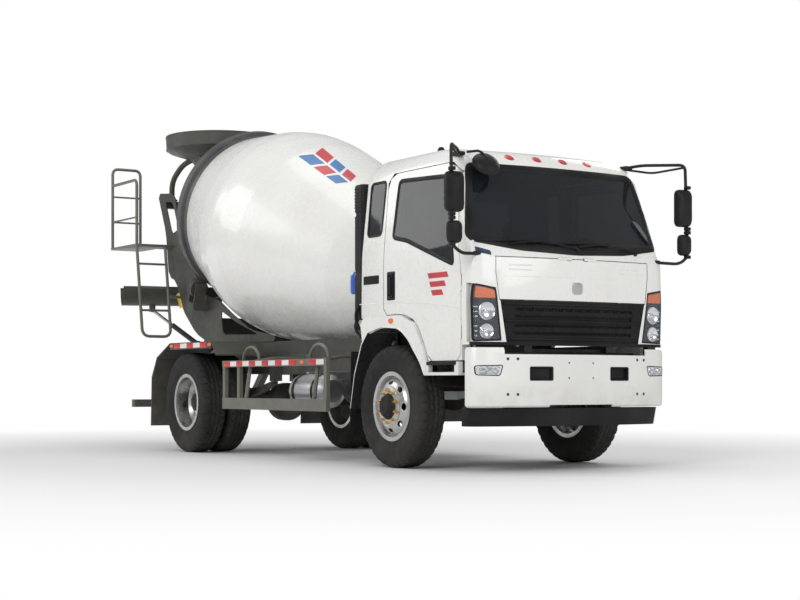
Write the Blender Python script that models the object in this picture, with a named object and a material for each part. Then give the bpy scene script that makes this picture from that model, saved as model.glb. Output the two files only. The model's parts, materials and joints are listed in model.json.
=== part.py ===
# A two-axle concrete mixer truck as separate, closed solids.
# +X is the truck's front, +Y its left side, +Z is up; all sizes are metres.
# Lengths along X below are counted from the front axle, and the empty "truck" carries them all.

from math import cos, pi, radians, sin

import bmesh
import bpy
from mathutils import Matrix, Vector

for old in list(bpy.data.objects):
    bpy.data.objects.remove(old, do_unlink=True)

# Clearances
TOUCH = 0.0003
DOOR_GAP = 0.006
ROUND_STEPS = 20

# Overall
WHEELBASE = 3.6
FRONT_REACH = 1.196
REAR_REACH = 5.97
FRONT_AXLE_X = (REAR_REACH - FRONT_REACH) / 2

# Wheels
TYRE_R = 0.485
TYRE_WIDTH = 0.235
RIM_R = 0.254
RIM_FLANGE_R = 0.2765
RIM_HALF = 0.1
FRONT_WHEEL_Y = 0.875
DUAL_OUTER_Y = 1.0025
DUAL_SPACING = 0.27
DUAL_INNER_Y = DUAL_OUTER_Y - DUAL_SPACING
DUAL_MIDDLE_Y = (DUAL_OUTER_Y + DUAL_INNER_Y) / 2
REAR_AXLE_X = -WHEELBASE
HUB_Z = TYRE_R
KINGPIN_Y = 0.72
PIN_R = 0.02
SPINDLE_R = 0.04
BORE_PLAY = 0.0009

# Chassis
RAIL_OUT = 0.43
RAIL_FLANGE = 0.07
RAIL_PLATE = 0.012
RAIL_TOP = 0.96
RAIL_HEIGHT = 0.2
RAIL_BOTTOM = RAIL_TOP - RAIL_HEIGHT
RAIL_WEB = RAIL_OUT - RAIL_PLATE
RAIL_FRONT = 0.98
RAIL_REAR = -4.75
SUBFRAME_TOP = 1.075
SUBFRAME_FRONT = -0.75
SPRING_Y = 0.415
SPRING_WIDTH = 0.07
REAR_SPRING_Y = 0.485

# Cab
CAB_WALL = 0.05
FRONT_WALL = 0.09
SILL_Z = 1.2
DOOR_SILL_Z = 0.84
CAB_FRONT_Z = 0.955
FLOOR = 0.06
TILT_X = 1.01
TILT_Z = 0.97
TUNNEL_HALF = 0.36
TUNNEL_TOP = 1.3
GLASS = 0.008
HINGE_R = 0.01
LAMP_DEPTH = 0.035
BUMPER_WALL = 0.016
DOOR_HINGE = (0.9275, -0.945)
DOOR_SPANS = ((1.0, 1.1), (1.4, 1.48))
SHELL_SPANS = ((1.1005, 1.14), (1.36, 1.3995))
FLAP_HINGE = (1.126, 1.6135)
FLAP_SPANS = ((-0.18, -0.1), (0.1, 0.18))
FLAP_SHELL_SPANS = ((-0.0995, -0.06), (0.06, 0.0995))
WHEEL_CENTRE = Vector((0.38, 0.52, 1.72))
WHEEL_AXIS = Vector((-0.5, 0, 0.866))

# Drum
DRUM_TILT = radians(16.07)
DRUM_START = Vector((-1.0, 0, 1.485))
DRUM_DIR = Vector((-cos(DRUM_TILT), 0, sin(DRUM_TILT)))
DRUM_UP = Vector((sin(DRUM_TILT), 0, cos(DRUM_TILT)))
DRUM_WALL = 0.008
RING_S = 3.41
RING_HALF = 0.05
RING_R = 0.875
MOUTH_S = 3.95
MOUTH_R = 0.5
HEAD_S = -0.1
HEAD_R = 0.35
ROLLER_R = 0.1
ROLLER_HALF = 0.045
ROLLER_ANGLE = radians(35)
ROLLER_PIN_R = 0.025

# Rear structure
SIDE_PLATE_IN = 0.43
SIDE_PLATE = 0.012
HOPPER_X = -5.1
HOPPER_R = 0.6
HOPPER_TOP = 3.34
HOPPER_BAND = 0.15
SWING_X = -5.42
STOW_ANGLE = radians(-107.5)
CHUTE_R = 0.2
CHUTE_WALL = 0.006
CHUTE_LENGTH = 0.95
CHUTE_Z = 1.72
CHUTE_PIN_Z = 1.62
JACK_LOW = Vector((0.13, 0, 1.11))
JACK_HIGH = Vector((0.62, 0, 1.475))
PLATFORM_X = (-5.97, -5.26)
PLATFORM_Y = (-0.93, -0.57)
PLATFORM_Z = 2.17
RAIL_TUBE_R = 0.016

# (z, rear, front at the middle, half width, bow of the front, front corner, rear corner)
CAB_SECTIONS = (
    (0.78, -0.55, 1.105, 0.94, 0.045, 0.1, 0.05),
    (1.29, -0.56, 1.125, 0.94, 0.05, 0.1, 0.05),
    (1.6, -0.56, 1.13, 0.94, 0.06, 0.11, 0.06),
    (1.7, -0.56, 1.095, 0.938, 0.07, 0.12, 0.06),
    (2.3, -0.55, 0.865, 0.888, 0.06, 0.1, 0.07),
    (2.38, -0.54, 0.815, 0.872, 0.06, 0.11, 0.08),
    (2.44, -0.515, 0.735, 0.84, 0.06, 0.12, 0.09),
    (2.475, -0.46, 0.62, 0.78, 0.06, 0.14, 0.1),
    (2.49, -0.36, 0.46, 0.66, 0.06, 0.14, 0.1),
)
DOOR_OUTLINE = (
    (0.925, DOOR_SILL_Z), (0.925, 1.5), (0.8, 2.27), (0.72, 2.34), (-0.1, 2.34), (-0.17, 2.27),
    (-0.17, 1.215), (0.12, 1.215), (0.31, 1.155), (0.445, 0.955), (0.49, DOOR_SILL_Z),
)
DOOR_WINDOW = ((-0.016, 2.285), (-0.061, 1.817), (0.162, 1.776), (0.836, 1.546), (0.745, 2.25))
QUARTER_WINDOW = ((-0.445, 2.3), (-0.455, 1.855), (-0.225, 1.855), (-0.2, 2.3))
WINDSCREEN = ((-0.91, 1.735), (-0.5, 1.675), (0, 1.655), (0.5, 1.675), (0.91, 1.735), (0.8, 2.33), (-0.8, 2.33))
FLAP = ((-0.7, 1.295), (0.7, 1.295), (0.728, 1.5), (0.728, 1.61), (-0.728, 1.61), (-0.728, 1.5))
GRILLE = ((-0.63, 0.975), (0.63, 0.975), (0.69, 1.289), (-0.69, 1.289))
HEADLIGHT = ((0.677, 0.985), (0.98, 0.975), (0.98, 1.42), (0.73, 1.38))
ARCH_EDGE = ((0.47, 0.728), (0.405, 0.83), (0.315, 0.925), (0.221, 1.02), (0.074, 1.1), (-0.15, 1.115),
             (-0.351, 1.076), (-0.446, 0.98), (-0.558, 0.736), (-0.623, 0.457))

truck = bpy.data.objects.new("truck", None)
truck.location = (FRONT_AXLE_X, 0, 0)
bpy.context.scene.collection.objects.link(truck)
swing = bpy.data.objects.new("chute_swing_axis", None)
swing.location = (SWING_X, 0, 0)
swing.rotation_euler = (0, 0, STOW_ANGLE)
swing.parent = truck
bpy.context.scene.collection.objects.link(swing)


def make_material(name, colour, rough, metal=0.0):
    material = bpy.data.materials.new(name)
    material.use_nodes = True
    shader = material.node_tree.nodes["Principled BSDF"]
    shader.inputs["Base Color"].default_value = (*colour, 1)
    shader.inputs["Roughness"].default_value = rough
    shader.inputs["Metallic"].default_value = metal
    return material


WHITE = make_material("cab_white", (0.82, 0.82, 0.81), 0.3)
GREY = make_material("frame_grey", (0.05, 0.05, 0.045), 0.5)
OLIVE = make_material("guard_grey", (0.13, 0.13, 0.11), 0.5)
BLACK = make_material("black_plastic", (0.02, 0.02, 0.02), 0.5)
RUBBER = make_material("tyre_rubber", (0.03, 0.03, 0.03), 0.8)
SILVER = make_material("rim_silver", (0.6, 0.6, 0.6), 0.35, 0.8)
DARK_GLASS = make_material("tinted_glass", (0.03, 0.035, 0.04), 0.05)
LAMP = make_material("lamp", (0.6, 0.6, 0.6), 0.1)
SEAT = make_material("seat_fabric", (0.2, 0.2, 0.2), 0.9)
IRON = make_material("cast_iron", (0.12, 0.12, 0.12), 0.6, 0.5)


# ---- shapes ----

def link(mesh, name="blank"):
    obj = bpy.data.objects.new(name, mesh)
    bpy.context.scene.collection.objects.link(obj)
    return obj


def from_bmesh(bm):
    bmesh.ops.remove_doubles(bm, verts=bm.verts, dist=1e-5)
    bmesh.ops.recalc_face_normals(bm, faces=bm.faces)
    mesh = bpy.data.meshes.new("blank")
    bm.to_mesh(mesh)
    bm.free()
    return link(mesh)


def box(x0, x1, y0, y1, z0, z1):
    bm = bmesh.new()
    bmesh.ops.create_cube(bm, size=1)
    bmesh.ops.scale(bm, verts=bm.verts, vec=(x1 - x0, y1 - y0, z1 - z0))
    bmesh.ops.translate(bm, verts=bm.verts, vec=((x0 + x1) / 2, (y0 + y1) / 2, (z0 + z1) / 2))
    return from_bmesh(bm)


def prism(outline, axis, low, high):
    """An outline in the plane square to axis, extruded along axis from low to high."""
    place = {"X": lambda p, t: (t, p[0], p[1]), "Y": lambda p, t: (p[0], t, p[1]),
             "Z": lambda p, t: (p[0], p[1], t)}[axis]
    bm = bmesh.new()
    face = bm.faces.new([bm.verts.new(place(point, low)) for point in outline])
    grown = bmesh.ops.extrude_face_region(bm, geom=[face])
    moved = [part for part in grown["geom"] if isinstance(part, bmesh.types.BMVert)]
    bmesh.ops.translate(bm, verts=moved, vec=place((0, 0), high - low))
    return from_bmesh(bm)


def turned(profile, base, axis, closed=False, steps=ROUND_STEPS):
    """A profile of (radius, distance along the axis) spun about the line through base."""
    bm = bmesh.new()
    points = [bm.verts.new((radius, 0, along)) for radius, along in profile]
    edges = [bm.edges.new(pair) for pair in zip(points, points[1:])]
    if closed:
        edges.append(bm.edges.new((points[-1], points[0])))
    bmesh.ops.spin(bm, geom=points + edges, cent=(0, 0, 0), axis=(0, 0, 1), angle=2 * pi, steps=steps)
    turn = Vector(axis).to_track_quat("Z", "Y").to_matrix().to_4x4()
    bmesh.ops.transform(bm, matrix=Matrix.Translation(base) @ turn, verts=bm.verts)
    return from_bmesh(bm)


def rod(start, end, radius, steps=16):
    """A round bar between two points."""
    along = Vector(end) - Vector(start)
    return turned([(0, 0), (radius, 0), (radius, along.length), (0, along.length)], start, along, steps=steps)


def loft(rings):
    """Faces between rings of equal point count, with a flat cap at each end."""
    bm = bmesh.new()
    rows = [[bm.verts.new(point) for point in ring] for ring in rings]
    count = len(rows[0])
    for lower, upper in zip(rows, rows[1:]):
        for i in range(count):
            j = (i + 1) % count
            bm.faces.new((lower[i], lower[j], upper[j], upper[i]))
    bm.faces.new(reversed(rows[0]))
    bm.faces.new(rows[-1])
    return from_bmesh(bm)


def evaluated(obj):
    graph = bpy.context.evaluated_depsgraph_get()
    graph.update()
    return bpy.data.meshes.new_from_object(obj.evaluated_get(graph), depsgraph=graph)


def tube(points, radius, closed=False, sides=6):
    """A round tube along points, with filled ends."""
    curve = bpy.data.curves.new("tube", "CURVE")
    curve.dimensions = "3D"
    curve.bevel_depth = radius
    curve.bevel_resolution = (sides - 4) // 2
    curve.use_fill_caps = not closed
    spline = curve.splines.new("POLY")
    spline.points.add(len(points) - 1)
    for knot, point in zip(spline.points, points):
        knot.co = (*point, 1)
    spline.use_cyclic_u = closed
    guide = link(curve)
    bm = bmesh.new()
    bm.from_mesh(evaluated(guide))
    bpy.data.objects.remove(guide)
    return from_bmesh(bm)


def rounded(points, radius, steps=4, closed=True):
    """The same path with each corner replaced by a curve that starts radius before it."""
    points = [Vector(point) for point in points]
    result = []
    for i, corner in enumerate(points):
        if not closed and i in (0, len(points) - 1):
            result.append(corner)
            continue
        before, after = points[i - 1] - corner, points[(i + 1) % len(points)] - corner
        cut = min(radius, before.length * 0.49, after.length * 0.49)
        start, end = corner + before.normalized() * cut, corner + after.normalized() * cut
        for k in range(steps + 1):
            t = k / steps
            result.append(start * (1 - t) ** 2 + corner * 2 * t * (1 - t) + end * t * t)
    return [tuple(point) for point in result]


def grown(outline, distance):
    """The outline moved outwards by distance along its mitres."""
    count = len(outline)
    area = sum(outline[i][0] * outline[(i + 1) % count][1] - outline[(i + 1) % count][0] * outline[i][1]
               for i in range(count))
    side = distance if area > 0 else -distance
    result = []
    for i in range(count):
        here = Vector(outline[i])
        into = (here - Vector(outline[i - 1])).normalized()
        out = (Vector(outline[(i + 1) % count]) - here).normalized()
        normal = Vector((into.y + out.y, -into.x - out.x)) / max(1 + into.dot(out), 0.3)
        result.append(tuple(here + normal * side))
    return result


def carve(base, add=(), keep=(), cut=()):
    """base joined with add, kept inside keep, then cut. The tools are used up."""
    for operation, tools in (("UNION", add), ("INTERSECT", keep), ("DIFFERENCE", cut)):
        for tool in tools:
            step = base.modifiers.new(operation, "BOOLEAN")
            step.operation = operation
            step.solver = "EXACT"
            step.object = tool
    mesh = evaluated(base)
    base.modifiers.clear()
    base.data = mesh
    for tool in (*add, *keep, *cut):
        bpy.data.objects.remove(tool)
    return base


def mirrored(obj):
    """A copy on the other side of the truck's middle plane."""
    bm = bmesh.new()
    bm.from_mesh(obj.data)
    bmesh.ops.scale(bm, verts=bm.verts, vec=(1, -1, 1))
    bmesh.ops.reverse_faces(bm, faces=bm.faces)
    mesh = bpy.data.meshes.new("blank")
    bm.to_mesh(mesh)
    bm.free()
    return link(mesh)


def finish(obj, name, material, pivot=(0, 0, 0), parent=truck):
    """Names a solid and puts its origin on its joint's axis."""
    obj.name = name
    obj.data.name = name
    obj.data.transform(Matrix.Translation(-Vector(pivot)))
    obj.data.materials.clear()
    obj.data.materials.append(material)
    obj.data.shade_smooth()
    obj.data.set_sharp_from_angle(angle=radians(35))
    obj.location = pivot
    obj.parent = parent
    return obj


def both_sides(obj, name, material, pivot=(0, 0, 0)):
    """The solid of the right side, and its mirror image on the left."""
    other = mirrored(obj)
    finish(obj, name + "_right", material, pivot)
    finish(other, name + "_left", material, (pivot[0], -pivot[1], pivot[2]))


# ---- wheels ----

def tyre_profile():
    half = TYRE_WIDTH / 2
    right = [(RIM_R + TOUCH, 0.078), (0.3, 0.098), (0.35, half - 0.003), (0.42, half), (TYRE_R - 0.014, 0.1),
             (TYRE_R, 0.08)]
    return right + [(radius, -along) for radius, along in reversed(right)]


def make_tyre(name, x, y):
    finish(turned(tyre_profile(), (x, y, HUB_Z), (0, 1, 0), closed=True), name, RUBBER, (x, y, HUB_Z))


def rim_section(disc):
    """A closed barrel section whose disc follows the given (radius, along) outer face, 14 mm thick."""
    inside, flange = RIM_R - 0.01, RIM_HALF - 0.012
    front = [(RIM_R, flange - 0.008), (RIM_FLANGE_R, flange), (RIM_FLANGE_R, RIM_HALF), (inside, RIM_HALF), (inside, disc[0][1])]
    hub = [*disc, *[(radius, along - 0.014) for radius, along in reversed(disc)]]
    back = [(inside, disc[0][1] - 0.014), (inside, -RIM_HALF), (RIM_FLANGE_R, -RIM_HALF), (RIM_FLANGE_R, -flange),
            (RIM_R, 0.008 - flange)]
    return front + hub + back


def front_wheel():
    centre = (0, -FRONT_WHEEL_Y, HUB_Z)
    disc = [(0.235, 0.06), (0.19, 0.115), (0.07, 0.13)]
    rim = turned(rim_section(disc), centre, (0, -1, 0), closed=True)
    cap = turned([(SPINDLE_R + BORE_PLAY, 0.0), (0.095, 0.0), (0.095, 0.15), (0.06, 0.175), (0, 0.175),
                  (0, 0.15), (SPINDLE_R + BORE_PLAY, 0.15)], centre, (0, -1, 0), closed=True)
    both_sides(carve(rim, add=[cap]), "front_rim", SILVER, centre)
    for side, name in ((-1, "right"), (1, "left")):
        make_tyre("front_tyre_" + name, 0, side * FRONT_WHEEL_Y)


def rear_wheel():
    centre = (REAR_AXLE_X, -DUAL_OUTER_Y, HUB_Z)
    dish = [(0.235, -0.02), (0.2, -0.115), (0.07, -0.12)]
    outer = turned(rim_section(dish), centre, (0, -1, 0), closed=True)
    inner_centre = (REAR_AXLE_X, -DUAL_INNER_Y, HUB_Z)
    inner = turned(rim_section(dish), inner_centre, (0, 1, 0), closed=True)
    hub = turned([(SPINDLE_R + BORE_PLAY, -0.16), (0.14, -0.16), (0.14, -0.1), (0.09, -0.1), (0.09, 0.0),
                  (0.05, 0.02), (0, 0.02), (0, -0.01), (SPINDLE_R + BORE_PLAY, -0.01)], centre, (0, -1, 0),
                 closed=True)
    both_sides(carve(outer, add=[inner, hub]), "rear_rims", SILVER, centre)
    for side, name in ((-1, "right"), (1, "left")):
        make_tyre("rear_tyre_outer_" + name, REAR_AXLE_X, side * DUAL_OUTER_Y)
        make_tyre("rear_tyre_inner_" + name, REAR_AXLE_X, side * DUAL_INNER_Y)


# ---- axles and chassis ----

def spring_pack(x, y, half_length, eye_z, seat_z, leaf):
    """A leaf pack that bows down to its seat on the axle, as one outline extruded across."""
    lower = [(x + half_length * t, seat_z + (eye_z - seat_z) * t * t) for t in (-1, -0.6, -0.25, 0.25, 0.6, 1)]
    upper = [(px, pz + leaf * (1 - 0.7 * abs(px - x) / half_length)) for px, pz in reversed(lower)]
    return prism(lower + upper, "Y", y - SPRING_WIDTH / 2, y + SPRING_WIDTH / 2)


def front_axle():
    boss = [rod((0, side * KINGPIN_Y, 0.42), (0, side * KINGPIN_Y, 0.55), 0.058, steps=20) for side in (-1, 1)]
    beam = prism([(-0.67, 0.485), (-0.67, 0.43), (-0.5, 0.36), (0.5, 0.36), (0.67, 0.43), (0.67, 0.54),
                  (0.62, 0.54), (0.5, 0.46), (-0.5, 0.46), (-0.62, 0.54), (-0.67, 0.54)], "X", -0.045, 0.045)
    ties = [box(-0.03, 0.03, *sorted((side * 0.64, side * 0.7)), 0.44, 0.53) for side in (-1, 1)]
    springs = [spring_pack(0, side * SPRING_Y, 0.62, 0.64, 0.44, 0.1) for side in (-1, 1)]
    holes = [rod((0, side * KINGPIN_Y, 0.3), (0, side * KINGPIN_Y, 0.7), PIN_R + BORE_PLAY) for side in (-1, 1)]
    beam = carve(beam, add=boss + ties + springs)
    finish(carve(beam, cut=holes), "front_axle", GREY)


def knuckle():
    y = -KINGPIN_Y
    low = box(-0.045, 0.045, y - 0.1, y + 0.045, 0.385, 0.4145)
    high = box(-0.045, 0.045, y - 0.1, y + 0.045, 0.5555, 0.585)
    web = box(-0.045, 0.045, y - 0.1, y - 0.058, 0.385, 0.585)
    pin = rod((0, y, 0.39), (0, y, 0.58), PIN_R)
    brake = rod((0, y - 0.085, HUB_Z), (0, y - 0.115, HUB_Z), 0.16, steps=16)
    spindle = rod((0, y - 0.09, HUB_Z), (0, -FRONT_WHEEL_Y - 0.149, HUB_Z), SPINDLE_R, steps=ROUND_STEPS)
    arm = box(-0.2, -0.03, y - 0.02, y + 0.03, 0.385, 0.41)
    both_sides(carve(low, add=[high, web, pin, brake, spindle, arm]), "knuckle", IRON, (0, y, HUB_Z))


def rear_axle():
    x = REAR_AXLE_X
    housing = rod((x, -0.6, HUB_Z), (x, 0.6, HUB_Z), 0.07, steps=20)
    spindle = rod((x, -DUAL_OUTER_Y + 0.012, HUB_Z), (x, DUAL_OUTER_Y - 0.012, HUB_Z), SPINDLE_R,
                  steps=ROUND_STEPS)
    banjo = turned([(0, -0.13), (0.12, -0.12), (0.19, -0.06), (0.19, 0.06), (0.12, 0.12), (0, 0.13)],
                   (x, 0, HUB_Z), (1, 0, 0), steps=20)
    nose = rod((x + 0.1, 0, HUB_Z), (x + 0.27, 0, HUB_Z), 0.08)
    springs = [spring_pack(x, side * REAR_SPRING_Y, 0.68, 0.66, 0.53, 0.1) for side in (-1, 1)]
    seats = [box(x - 0.06, x + 0.06, side * REAR_SPRING_Y - 0.04, side * REAR_SPRING_Y + 0.04, 0.45, 0.56)
             for side in (-1, 1)]
    finish(carve(housing, add=[spindle, banjo, nose, *springs, *seats]), "rear_axle", GREY)


def rail_outline(side):
    out, inn = side * RAIL_OUT, side * (RAIL_OUT - RAIL_FLANGE)
    web = side * (RAIL_OUT - RAIL_PLATE)
    return [(out, RAIL_BOTTOM), (out, RAIL_TOP), (inn, RAIL_TOP), (inn, RAIL_TOP - RAIL_PLATE),
            (web, RAIL_TOP - RAIL_PLATE), (web, RAIL_BOTTOM + RAIL_PLATE), (inn, RAIL_BOTTOM + RAIL_PLATE),
            (inn, RAIL_BOTTOM)]


def chassis_frame():
    rails = [prism(rail_outline(side), "X", RAIL_REAR, RAIL_FRONT) for side in (-1, 1)]
    inside = RAIL_OUT - 0.006
    members = [box(x, x + 0.06, -inside, inside, RAIL_BOTTOM + 0.03, RAIL_TOP - 0.03)
               for x in (RAIL_FRONT - 0.06, -1.45, -2.15, -2.8, -4.3, RAIL_REAR)]
    parts = members
    for side in (-1, 1):
        y0, y1 = sorted((side * (SPRING_Y - 0.035), side * (SPRING_Y + 0.05)))
        for x in (0.62, -0.62):
            parts.append(box(x - 0.05, x + 0.03, y0, y1, 0.67 + TOUCH, RAIL_BOTTOM + 0.005))
        y0, y1 = sorted((side * (RAIL_OUT - 0.005), side * (REAR_SPRING_Y + 0.035)))
        for x in (REAR_AXLE_X - 0.68, REAR_AXLE_X + 0.68):
            parts.append(box(x - 0.04, x + 0.04, y0, y1, 0.69 + TOUCH, RAIL_TOP - 0.05))
        y0, y1 = sorted((side * (RAIL_OUT - RAIL_FLANGE), side * RAIL_OUT))
        arm = [(TILT_X - 0.02, TILT_Z), (TILT_X + 0.02, TILT_Z), (TILT_X + 0.02, 0.9), (RAIL_FRONT - 0.0005, 0.77),
               (RAIL_FRONT - 0.06, 0.77), (RAIL_FRONT - 0.06, 0.9), (TILT_X - 0.05, 0.9)]
        parts.append(prism(arm, "Y", y0, y1))
        parts.append(rod((TILT_X, y0, TILT_Z), (TILT_X, y1, TILT_Z), 0.03, steps=12))
        parts.append(box(0.9, 0.975, y0, y1, 0.4, RAIL_BOTTOM + 0.02))
    parts.append(box(0.9, 1.08, -0.94, 0.94, 0.35, 0.465))
    finish(carve(rails[0], add=[*parts, rails[1]]), "chassis_frame", GREY)


def engine():
    block = box(-0.62, 0.42, -0.3, 0.3, 0.64, 1.24)
    brackets = [box(x, x + 0.08, -RAIL_WEB + TOUCH, RAIL_WEB - TOUCH, 0.8, 0.86) for x in (-0.5, 0.2)]
    finish(carve(block, add=brackets), "engine_block", IRON)
    case = box(-1.15, -0.6203, -0.2, 0.2, 0.6, 0.94)
    case = carve(case, add=[rod((-1.1, 0, 0.75), (-1.35, 0, 0.72), 0.09), box(-1.0, -0.9, -0.4177, 0.4177, 0.8, 0.86),
                            rod((-1.3, 0, 0.72), (REAR_AXLE_X + 0.285, 0, HUB_Z + 0.015), 0.045)])
    finish(case, "gearbox_propshaft", IRON)


def bumper_ring(inset, z):
    return cab_ring(z, -0.55, FRONT_REACH - inset, 0.95 - inset, 0.1, 0.13 - inset * 0.7, 0.05)


def front_bumper():
    shell = loft([bumper_ring(0.03, 0.475), bumper_ring(0, 0.5), bumper_ring(0, 0.91), bumper_ring(0.01, 0.935)])
    hollow = loft([bumper_ring(BUMPER_WALL, z) for z in (0.3, 0.55, 1.2)])
    cuts = [hollow, box(-1, 0.985, -1.2, 1.2, 0.3, 1.1), box(0.9, 1.3, -0.68, 0.68, 0.885, 1.1),
            box(0.9, 1.3, -0.3, 0.3, 0.4, 0.505)]
    for side in (-1, 1):
        y0, y1 = sorted((side * 0.28, side * 0.47))
        cuts.append(box(0.9, 1.3, y0, y1, 0.693, 0.788))
    arms = [box(RAIL_FRONT + TOUCH, FRONT_REACH - 0.01, side * 0.5 - 0.03, side * 0.5 + 0.03, 0.56, 0.64)
            for side in (-1, 1)]
    shell = carve(shell, cut=cuts)
    beam = box(RAIL_FRONT + TOUCH, RAIL_FRONT + 0.04, -0.54, 0.54, 0.56, 0.64)
    feet = [box(RAIL_FRONT + TOUCH, RAIL_FRONT + 0.012, side * 0.395 - 0.03, side * 0.395 + 0.03, 0.6, 0.765)
            for side in (-1, 1)]
    finish(carve(beam, add=[*arms, *feet, shell]), "front_bumper", WHITE)


# ---- cab ----

def cab_ring(z, rear, front, half, bow, nose, heel):
    """One level of the cab: rounded rear and front corners, and a front face bowed in plan."""
    corner = front - bow
    side = [(rear, 0.0), (rear, half - heel)]
    for k in range(1, 3):
        a = pi / 2 * k / 2
        side.append((rear + heel * (1 - cos(a)), half - heel * (1 - sin(a))))
    side += [(0.0, half), (corner - nose, half)]
    for k in range(1, 4):
        a = pi / 2 * k / 3
        side.append((corner - nose * (1 - sin(a)), half - nose * (1 - cos(a))))
    reach = half - nose
    side += [(front - bow * (t * t), reach * t) for t in (0.66, 0.33, 0.0)]
    other = [(x, -y) for x, y in reversed(side[1:-1])]
    return [(x, y, z) for x, y in side + other]


def cab_loft(inset, front_inset=None):
    """The cab's outer form moved inwards; the front wall below the windscreen may be thicker."""
    rings = []
    for z, rear, front, half, bow, nose, heel in CAB_SECTIONS:
        forward = inset if front_inset is None or z > 1.65 else front_inset
        drop = inset * min(max((z - 2.2) / 0.2, 0), 1)
        rings.append(cab_ring(z - drop, rear + inset, front - forward, half - inset, bow,
                              max(nose - inset * 0.6, 0.02), max(heel - inset * 0.6, 0.01)))
    return loft(rings)


def floor_block():
    """All the space above the cab's floor."""
    line = [(-0.8, SILL_Z + FLOOR), (0.12, SILL_Z + FLOOR), (0.32, 1.2), (0.47, 0.99 + FLOOR), (1.3, 0.99 + FLOOR),
            (1.3, 2.7), (-0.8, 2.7)]
    return prism(line, "Y", -1.2, 1.2)


def underside_block():
    line = [(-0.8, 0.5), (-0.8, SILL_Z), (0.12, SILL_Z), (0.31, 1.15), (0.44, 0.95), (0.49, DOOR_SILL_Z),
            (0.94, DOOR_SILL_Z), (0.94, CAB_FRONT_Z), (1.3, CAB_FRONT_Z), (1.3, 0.5)]
    return prism(line, "Y", -1.2, 1.2)


def screen_slab(offset):
    """The space ahead of a slanted plane, which keeps the screen's cut off the side walls."""
    return prism([(0.965 - offset, 1.6), (0.735 - offset, 2.45), (1.5, 2.45), (1.5, 1.6)], "Y", -1.2, 1.2)


def hinge_barrels(axis_x, axis_y, spans, radius=HINGE_R, steps=10):
    return [rod((axis_x, axis_y, low), (axis_x, axis_y, high), radius, steps=steps) for low, high in spans]


def window_cut(outline, axis="Y"):
    return prism(rounded(outline, 0.05, 2), axis, -1.2, -0.78)


def pane(outline):
    """A pane that fills a side window, flush with the outer skin."""
    blank = prism(grown(rounded(outline, 0.05, 2), -TOUCH), "Y", -1.2, -0.78)
    return carve(blank, keep=[cab_loft(0)], cut=[cab_loft(GLASS)])


def mirrored_pair(obj):
    return [mirrored(obj), obj]


def cab_shell():
    void = carve(cab_loft(CAB_WALL, FRONT_WALL), keep=[floor_block()],
                 cut=[box(-0.7, 0.56, -TUNNEL_HALF - 0.04, TUNNEL_HALF + 0.04, 1.0, TUNNEL_TOP + 0.04)])
    cuts = [void, underside_block(), box(-0.7, 0.51, -TUNNEL_HALF, TUNNEL_HALF, 0.5, TUNNEL_TOP),
            box(0.3, 0.95, -0.86, 0.86, 0.5, 0.99), box(0.94, 1.0, -0.46, 0.46, 0.9, 0.99)]
    door = grown(rounded(DOOR_OUTLINE, 0.05, 1), DOOR_GAP)
    upper = [(0.931, 1.35), (0.931, 1.5), (0.806, 2.272), (0.724, 2.346), (-0.104, 2.346), (-0.176, 2.274), (-0.176, 1.35)]
    for blank in (prism(door, "Y", -1.2, -0.885), prism(upper, "Y", -1.2, -0.78), window_cut(QUARTER_WINDOW)):
        cuts += mirrored_pair(blank)
    cuts.append(carve(prism(rounded(WINDSCREEN, 0.05, 2), "X", 0.5, 1.5), keep=[screen_slab(0)]))
    cuts.append(box(-0.7, -0.45, -0.62, 0.62, 1.85, 2.25))
    front = [carve(prism(grown(FLAP, DOOR_GAP), "X", 0.8, 1.4), cut=[cab_loft(0.052)]),
             carve(prism(grown(GRILLE, DOOR_GAP), "X", 0.8, 1.4), cut=[cab_loft(0.057)])]
    for side in (-1, 1):
        outline = [(side * y, z) for y, z in grown(HEADLIGHT, TOUCH)]
        front.append(carve(prism(outline, "X", 0.99, 1.4), cut=[cab_loft(LAMP_DEPTH + TOUCH)]))
    for side in (-1, 1):
        y0, y1 = sorted((side * (RAIL_OUT - RAIL_FLANGE - 0.0055), side * (RAIL_OUT + 0.0055)))
        cuts.append(rod((TILT_X, y0, TILT_Z), (TILT_X, y1, TILT_Z), 0.037, steps=12))
        cuts.append(box(TILT_X - 0.06, TILT_X + 0.05, y0, y1, 0.9, TILT_Z + 0.036))
    shell = carve(carve(cab_loft(0), cut=front), cut=cuts)
    barrels = []
    for blank in hinge_barrels(*DOOR_HINGE, SHELL_SPANS):
        barrels += mirrored_pair(blank)
    barrels += [rod((FLAP_HINGE[0], low, FLAP_HINGE[1]), (FLAP_HINGE[0], high, FLAP_HINGE[1]), HINGE_R, steps=10)
                for low, high in FLAP_SHELL_SPANS]
    for side in (-1, 1):
        for y0, y1 in ((RAIL_OUT + 0.0005, RAIL_OUT + 0.05), (RAIL_OUT - RAIL_FLANGE - 0.05, RAIL_OUT - RAIL_FLANGE - 0.0005)):
            barrels.append(rod((TILT_X, side * y0, TILT_Z), (TILT_X, side * y1, TILT_Z), 0.028, steps=12))
    clear = []
    for blank in hinge_barrels(*DOOR_HINGE, [(low - 0.0004, high + 0.0004) for low, high in DOOR_SPANS], 0.015):
        clear += mirrored_pair(blank)
    clear += [rod((FLAP_HINGE[0], low - 0.0004, FLAP_HINGE[1]), (FLAP_HINGE[0], high + 0.0004, FLAP_HINGE[1]), 0.015, steps=10)
              for low, high in FLAP_SPANS]
    shell = carve(shell, cut=clear)
    finish(carve(shell, add=barrels), "cab_shell", WHITE, (TILT_X, 0, TILT_Z))


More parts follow.
